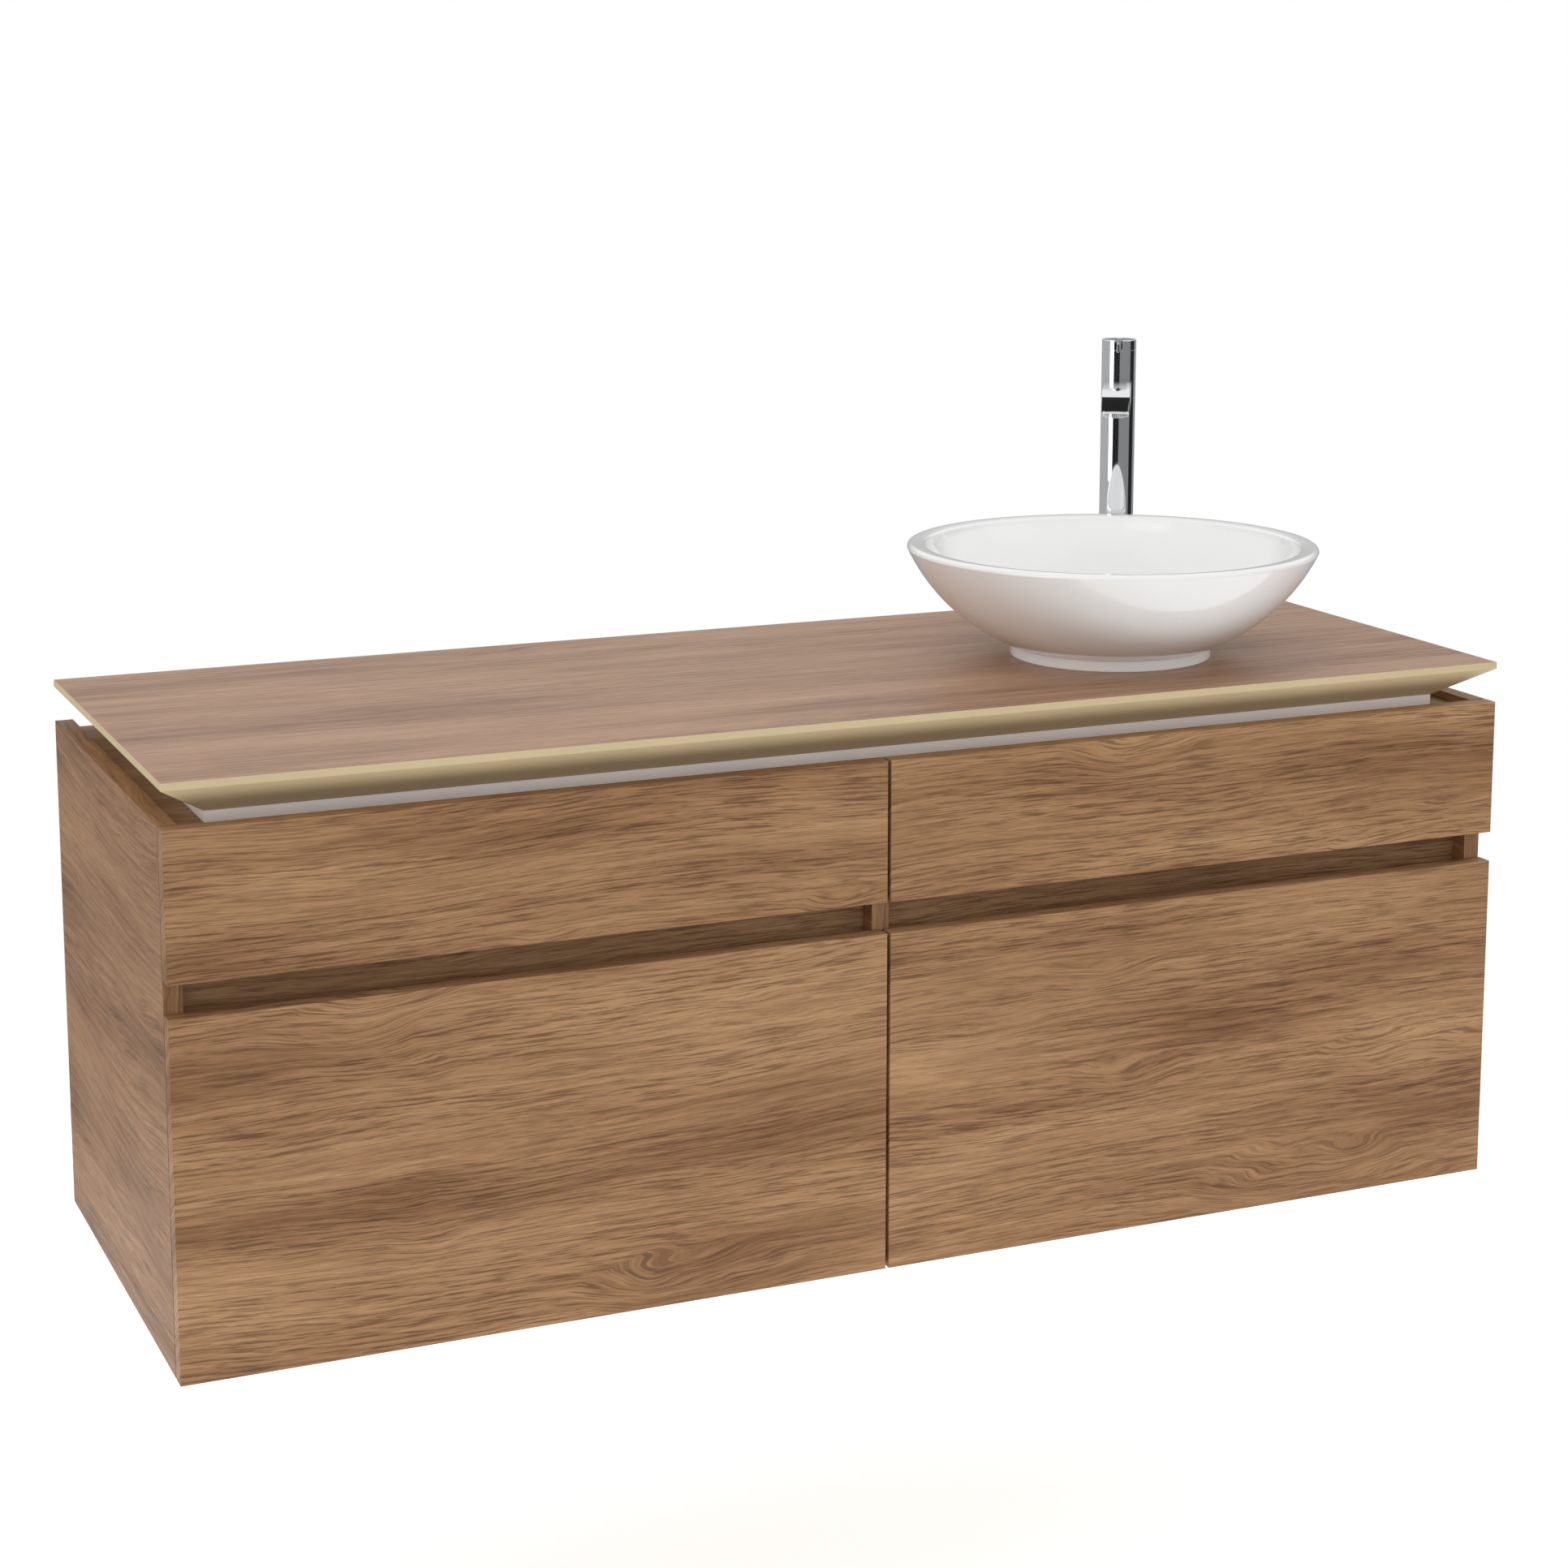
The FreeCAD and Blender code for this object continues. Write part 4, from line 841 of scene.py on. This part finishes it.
# %% Column and spout
BORE_RADIUS = 15.05 * MM
SEAM_HEIGHT = TAP_TOP - 11.4 * MM
BORE_FLOOR = SEAM_HEIGHT - 42 * MM
LID_GAP = 0.3 * MM
PEG = (10 * MM, 15 * MM)
SPOUT_REACH = 155 * MM
SPOUT_HALF = 15 * MM
SPOUT_TOP = WORKTOP_TOP + 269.2 * MM
SPOUT_UNDER = SPOUT_TOP - 24.2 * MM
SPOUT_CHAMFER = 6 * MM
SPOUT_ROUND = 3 * MM
SPOUT_ROOT = 17 * MM
SPOUT_EASE = 0.35 * MM
ROUND_ANGLES = (0, 18, 36, 54, 72, 90)
FLAT_STEPS = 6


def spout_section(across):
    """The spout's upright cut at a distance from its middle line: root, top, chamfer, face and underside."""
    over = max(0.0, abs(across) - (SPOUT_HALF - SPOUT_ROUND))
    low = SPOUT_UNDER + SPOUT_ROUND - math.sqrt(max(0.0, SPOUT_ROUND ** 2 - over ** 2))
    root = math.sqrt(SPOUT_ROOT ** 2 - across ** 2)
    corners = ((root, low), (root, SPOUT_TOP), (SPOUT_REACH - SPOUT_CHAMFER, SPOUT_TOP))
    corners += ((SPOUT_REACH, SPOUT_TOP - SPOUT_CHAMFER), (SPOUT_REACH, low))
    return [on_tap(across, forwards, height) for forwards, height in corners]


def tap_column():
    """The column and its spout as one casting."""
    outline = [(0, WORKTOP_TOP + PEG[1]), (PEG[0], WORKTOP_TOP + PEG[1]), (PEG[0], WORKTOP_TOP)]
    outline += [(TAP_RADIUS, WORKTOP_TOP), (TAP_RADIUS, SEAM_HEIGHT - LID_GAP)]
    outline += [(TAP_RADIUS - LID_GAP, SEAM_HEIGHT)]
    outline += [(BORE_RADIUS, SEAM_HEIGHT), (BORE_RADIUS, BORE_FLOOR), (0, BORE_FLOOR)]
    column = turned("tap_casting", outline, TAP_AXIS, chrome, FINE_TURN, closed=False)
    flat = SPOUT_HALF - SPOUT_ROUND
    rounds = [flat + SPOUT_ROUND * math.sin(math.radians(angle)) for angle in ROUND_ANGLES]
    between = [flat * step / FLAT_STEPS for step in range(1 - FLAT_STEPS, FLAT_STEPS)]
    cuts = [-across for across in reversed(rounds)] + between + rounds
    spout = ribbon_solid("spout", [spout_section(across) for across in cuts], chrome)
    ease(spout, SPOUT_EASE)
    spout.modifiers["eased_edges"].harden_normals = False
    return merged(column, spout, "UNION")


casting = stand_in(tap_column(), "tap_body")
casting_size = [round(x / MM, 1) for x in casting.dimensions]
print("column and spout", casting_size, "mm, faces", len(casting.data.polygons))

# %% [markdown]
# ## Cap
# The cap on top of the column turns with the lever, which sits in a slot. The slot is cut by a plain box,
# and the cap keeps a thin gap above the column, so that the seam shows.

# %% Cap
LID_PLAY = 0.1 * MM
LID_SKIRT = 8 * MM
LID_EDGE = 0.8 * MM
EDGE_STEPS = 4
SLOT_HALF = 3.9 * MM
SLOT_END = 12 * MM
SLOT_DEPTH = 10 * MM
SLOT_BACK = 22 * MM
SLOT_CLEAR = 2 * MM


def block(name, low, high, material):
    """A box on the tap between two corners given as (across, forwards, height)."""
    rows = []
    for across in (low[0], high[0]):
        corners = ((low[1], low[2]), (high[1], low[2]), (high[1], high[2]), (low[1], high[2]))
        rows.append([on_tap(across, forwards, height) for forwards, height in corners])
    return ribbon_solid(name, rows, material)


def tap_lid():
    """The turning cap with the lever's slot."""
    inside, under = BORE_RADIUS - LID_PLAY, SEAM_HEIGHT - LID_SKIRT
    outline = [(0, under), (inside, under)]
    outline += [(inside, SEAM_HEIGHT + LID_GAP), (TAP_RADIUS - LID_GAP, SEAM_HEIGHT + LID_GAP)]
    outline += [(TAP_RADIUS, SEAM_HEIGHT + 2 * LID_GAP)]
    edge_start, edge_end = (TAP_RADIUS, TAP_TOP - LID_EDGE), (TAP_RADIUS - LID_EDGE, TAP_TOP)
    outline += arc(edge_start, edge_end, LID_EDGE * QUARTER, EDGE_STEPS)
    outline += [edge_end, (0, TAP_TOP)]
    lid = turned("tap_lid", outline, TAP_AXIS, chrome, FINE_TURN, closed=False)
    low = (-SLOT_HALF, -SLOT_END, TAP_TOP - SLOT_DEPTH)
    high = (SLOT_HALF, SLOT_BACK, TAP_TOP + SLOT_CLEAR)
    return merged(lid, block("slot", low, high, chrome), "DIFFERENCE")


lid = stand_in(tap_lid(), "tap_cap")
print("cap", [round(x / MM, 1) for x in lid.dimensions], "mm, faces", len(lid.data.polygons))

# %% [markdown]
# ## Aerator and lever
# The aerator is a small screwed ring under the spout's tip, with ribs for the fingers and a sunk screen.
# The lever's CAD shape is right, so it only gets eased edges.

# %% Aerator and lever
AERATOR_SETBACK = 15.5 * MM
AERATOR_RADIUS = 13.8 * MM
AERATOR_EDGE = 0.4 * MM
AERATOR_DROP = 4.6 * MM
AERATOR_RIBS = 60
AERATOR_RIB = (0.4 * MM, 3.4 * MM)
RIB_MIDDLE = 2.2 * MM
MOUTH_RADIUS = 11.4 * MM
SCREEN_RADIUS = 10.6 * MM
SCREEN_DROP = 3.2 * MM


def aerator_ring():
    """The aerator's ring with finger ribs and its sunk screen."""
    axis = on_tap(0, SPOUT_REACH - AERATOR_SETBACK, 0)[:2]
    mouth, screen = SPOUT_UNDER - AERATOR_DROP, SPOUT_UNDER - SCREEN_DROP
    outline = [(0, screen), (SCREEN_RADIUS, screen), (MOUTH_RADIUS, mouth)]
    outline += [(AERATOR_RADIUS - AERATOR_EDGE, mouth), (AERATOR_RADIUS, mouth + AERATOR_EDGE)]
    outline += [(AERATOR_RADIUS, SPOUT_UNDER), (0, SPOUT_UNDER)]
    ring = turned("aerator_ring", outline, axis, chrome, ROUND_TURN, closed=False)
    centre = (*axis, SPOUT_UNDER - RIB_MIDDLE)
    return ribbed(ring, chrome, AERATOR_RIBS, AERATOR_RADIUS, centre, *AERATOR_RIB)


aerator = stand_in(aerator_ring(), "aerator")
eased("tap_lever", chrome, 0.5 * MM, segments=3)
print("aerator", [round(x / MM, 1) for x in aerator.dimensions], "mm with", AERATOR_RIBS, "ribs")

# %% [markdown]
# ## Waste and trap
# The waste's cover is a shallow dome that lies over the drain. Below the worktop the bottle trap hangs in
# the drawer's slot. Its cup screws off for cleaning, so its collar has ribs for the hand.

# %% Waste and trap
cover_low, cover_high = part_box("waste_cover")
COVER_RADIUS = (cover_high.x - cover_low.x) / 2
COVER_STEM = 4.5 * MM
STEM_TIP = (3 * MM, 7.1 * MM)
DOME_HEIGHT = 7 * MM
DOME_EDGE = 1 * MM
DOME_BULGE = 0.75 * MM
DOME_STEPS = 24
DOME_TURN = 128
CUP_RADIUS = 30 * MM
CUP_ROUND = 6 * MM
CUP_WALL = 2.5 * MM
CUP_CORNER = 7 * MM
COLLAR_RADIUS = 32 * MM
COLLAR_HEIGHT = 8 * MM
CUP_RIBS = 36
CUP_RIB = (0.9 * MM, 7 * MM)
RIB_SINK = 0.1 * MM


def waste_dome():
    """The lift-off cover: a dome with a rolled rim on a short stem."""
    rim = cover_high.z - DOME_HEIGHT
    shoulder = cover_low.z + STEM_TIP[1]
    outline = [(0, cover_low.z), (STEM_TIP[0], cover_low.z), (STEM_TIP[0], shoulder)]
    outline += [(COVER_STEM, shoulder), (COVER_STEM, rim), (COVER_RADIUS - DOME_EDGE, rim)]
    edge_start, edge_end = (COVER_RADIUS - DOME_EDGE, rim), (COVER_RADIUS, rim + DOME_EDGE)
    outline += arc(edge_start, edge_end, DOME_EDGE * QUARTER, EDGE_STEPS)
    outline += arc(edge_end, (0, cover_high.z), DOME_BULGE, DOME_STEPS)
    outline += [(0, cover_high.z)]
    return turned("waste_dome", outline, BASIN_AXIS, chrome, DOME_TURN, closed=False)


def trap_bottle():
    """The trap's screw-off cup with ribs round its collar."""
    low, high = (corner.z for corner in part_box("trap_cup"))
    bottom_edge, side_edge = (CUP_RADIUS - CUP_ROUND, low), (CUP_RADIUS, low + CUP_ROUND)
    inside = CUP_RADIUS - CUP_WALL
    outline = [(0, low), bottom_edge, *arc(bottom_edge, side_edge, CUP_ROUND * QUARTER, ROUND_STEPS)]
    outline += [side_edge, (CUP_RADIUS, high - COLLAR_HEIGHT)]
    outline += [(COLLAR_RADIUS, high - COLLAR_HEIGHT), (COLLAR_RADIUS, high), (inside, high)]
    outline += [(inside, low + CUP_CORNER), (inside - CUP_CORNER + CUP_WALL, low + CUP_WALL)]
    outline += [(0, low + CUP_WALL)]
    cup = turned("trap_bottle", outline, BASIN_AXIS, white_plastic, ROUND_TURN, closed=False)
    centre = (*BASIN_AXIS, high - COLLAR_HEIGHT / 2)
    return ribbed(cup, white_plastic, CUP_RIBS, COLLAR_RADIUS - RIB_SINK, centre, *CUP_RIB)


stand_in(waste_dome(), "waste_cover")
stand_in(trap_bottle(), "trap_cup")
print("waste cover", round(COVER_RADIUS / MM, 1), "mm in radius")

# %% [markdown]
# ## Hidden pieces and fixings
# What is left sits inside or below: nuts, seals, pipes and the cartridge. Their CAD shapes are right, so
# each is an eased copy with the finish of its slot in the record.

# %% Hidden pieces
SLOT_FINISH = {
    "rubber": rubber,
    "chrome": chrome,
    "brass": brass,
    "white_plastic": white_plastic,
    "grey_plastic": grey_plastic,
    "steel": zinc,
}
hidden = [node for node, thing in nodes.items() if not thing.hide_render]
for node in hidden:
    eased(node, SLOT_FINISH[slot_of_node[node]], 0.3 * MM)
print("eased as they are:", ", ".join(hidden))

# %% [markdown]
# ## Floor
# The unit hangs above a plain pale floor, which is a wide disc. It glows a little, so that it joins the
# white behind it.

# %% Floor
FLOOR_DROP = 0.42
FLOOR_REACH = 1.9
FLOOR_MIDDLE = -0.4
FLOOR_TONE = tone(250, 250, 250)
FLOOR_GLOW = 0.4


def floor_disc():
    """A pale round floor below the unit."""
    work = bmesh.new()
    bmesh.ops.create_circle(work, cap_ends=True, segments=96, radius=FLOOR_REACH)
    bmesh.ops.translate(work, verts=work.verts, vec=(0, FLOOR_MIDDLE, cad_low.z - FLOOR_DROP))
    mesh = bpy.data.meshes.new("studio_floor")
    work.to_mesh(mesh)
    work.free()
    glow = {"Emission_Color": FLOOR_TONE, "Emission_Strength": FLOOR_GLOW}
    paint = finish("floor_paint", FLOOR_TONE, 0.7, drift=0.01, grain=200, **glow)
    return new_piece("studio_floor", mesh, paint)


floor = floor_disc()
floor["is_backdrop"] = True
print("floor", [round(x, 2) for x in floor.dimensions[:2]], "m across, below the unit by", FLOOR_DROP)

# %% [markdown]
# ## Light
# Polished chrome shows nothing but its surroundings, so a plain white studio would make it look like paper.
# Black cards and bright panels stand round such an object. Here the world does the same, and answers each
# kind of ray in its own way. Reflections get upright bands of grey, white and black. Matt surfaces get an
# even light that depends only on height, so the bands don't stripe them. The camera sees plain white behind
# the unit. Two large, weak lamps add a soft direction. Each band is where it starts, as a share of a turn,
# and its brightness.

# %% Studio
BANDS = ((0.0, 0.45), (0.244, 1.9), (0.321, 0.02), (0.437, 0.25), (0.652, 0.02), (0.76, 0.30))
BRIGHTEST = 2.2
BAND_TOP = (0.16, 0.34)
DOME = 0.95
LAMP_AIM = (0.0, -0.25, 0.0)
AMBIENT = ((0.0, 0.30), (0.42, 0.35), (0.49, 1.20), (0.62, 1.20), (0.75, 0.85), (1.0, 0.90))
BACKDROP = 1.0


def level_stops(ramp, levels):
    """Set a colour ramp's stops from (position, brightness) pairs, as shares of the brightest."""
    stops = ramp.color_ramp.elements
    for index, (position, level) in enumerate(levels):
        stop = stops[index] if index < 2 else stops.new(position)
        share = level / BRIGHTEST
        stop.position = position
        stop.color = (share, share, share, 1)


def banded_light(tree, split):
    """Brightness by heading in upright bands, which give way to an even dome higher up."""
    backwards = calculate(tree, "MULTIPLY", (split, "Y"), -1.0)
    heading = calculate(tree, "ARCTAN2", (split, "X"), backwards)
    turn = calculate(tree, "MULTIPLY_ADD", heading, 0.5 / math.pi, 0.5)
    ramp = add(tree, "ShaderNodeValToRGB")
    ramp.color_ramp.interpolation = "CONSTANT"
    level_stops(ramp, BANDS)
    feed(tree, turn, ramp, "Fac")
    high = spread(tree, (split, "Z"), *BAND_TOP)
    panels = add(tree, "ShaderNodeMix", data_type="FLOAT")
    bright = calculate(tree, "MULTIPLY", (ramp, "Color"), BRIGHTEST)
    feed(tree, high, panels, 0)
    feed(tree, bright, panels, 2)
    panels.inputs[3].default_value = DOME
    return panels, 0


def even_light(tree, split):
    """Brightness by height only."""
    ramp = add(tree, "ShaderNodeValToRGB")
    level_stops(ramp, AMBIENT)
    feed(tree, spread(tree, (split, "Z"), -1.0, 1.0), ramp, "Fac")
    return calculate(tree, "MULTIPLY", (ramp, "Color"), BRIGHTEST)


def studio_world():
    """White to the camera, even light on matt surfaces, and bands of panels and cards in reflections."""
    world = bpy.data.worlds.new("studio")
    bpy.context.scene.world = world
    world.use_nodes = True
    tree = world.node_tree
    tree.nodes.clear()
    output = add(tree, "ShaderNodeOutputWorld")
    place = add(tree, "ShaderNodeTexCoord")
    split = add(tree, "ShaderNodeSeparateXYZ")
    wire(tree, place, "Generated", split, "Vector")
    rays = add(tree, "ShaderNodeLightPath")
    mirrored = add(tree, "ShaderNodeMix", data_type="FLOAT")
    wire(tree, rays, "Is Glossy Ray", mirrored, 0)
    feed(tree, even_light(tree, split), mirrored, 2)
    feed(tree, banded_light(tree, split), mirrored, 3)
    level = add(tree, "ShaderNodeMix", data_type="FLOAT")
    wire(tree, rays, "Is Camera Ray", level, 0)
    wire(tree, mirrored, 0, level, 2)
    level.inputs[3].default_value = BACKDROP
    sky = add(tree, "ShaderNodeBackground", {"Color": (1, 1, 1, 1)})
    wire(tree, level, 0, sky, "Strength")
    wire(tree, sky, "Background", output, "Surface")


def soft_light(name, place, size, power):
    """A large square light that faces the unit."""
    lamp = bpy.data.lights.new(name, "AREA")
    lamp.size = size
    lamp.energy = power
    light = bpy.data.objects.new(name, lamp)
    light.location = place
    light.rotation_euler = (Vector(LAMP_AIM) - Vector(place)).to_track_quat("-Z", "Y").to_euler()
    bpy.context.scene.collection.objects.link(light)


studio_world()
soft_light("key", place=(-3.0, -2.6, 2.9), size=2.2, power=12)
soft_light("fill", place=(3.0, -2.8, 2.2), size=2.4, power=4)
bpy.context.scene.view_settings.view_transform = "Standard"
lamps = [thing.name for thing in bpy.data.objects if thing.type == "LIGHT"]
print("studio world with the lamps", ", ".join(lamps))

# %% [markdown]
# ## Sizes
# The finished pieces should fill the same box as the solids that they stand for. The gap between the two
# boxes is printed at each corner, so that they can be compared.

# %% Sizes
seen_low, seen_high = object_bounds()
for end, seen, cad in (("low", seen_low, cad_low), ("high", seen_high, cad_high)):
    gap = [round((a - b) / MM, 2) for a, b in zip(seen, cad)]
    print(f"the visual box's {end} corner differs by", gap, "mm")
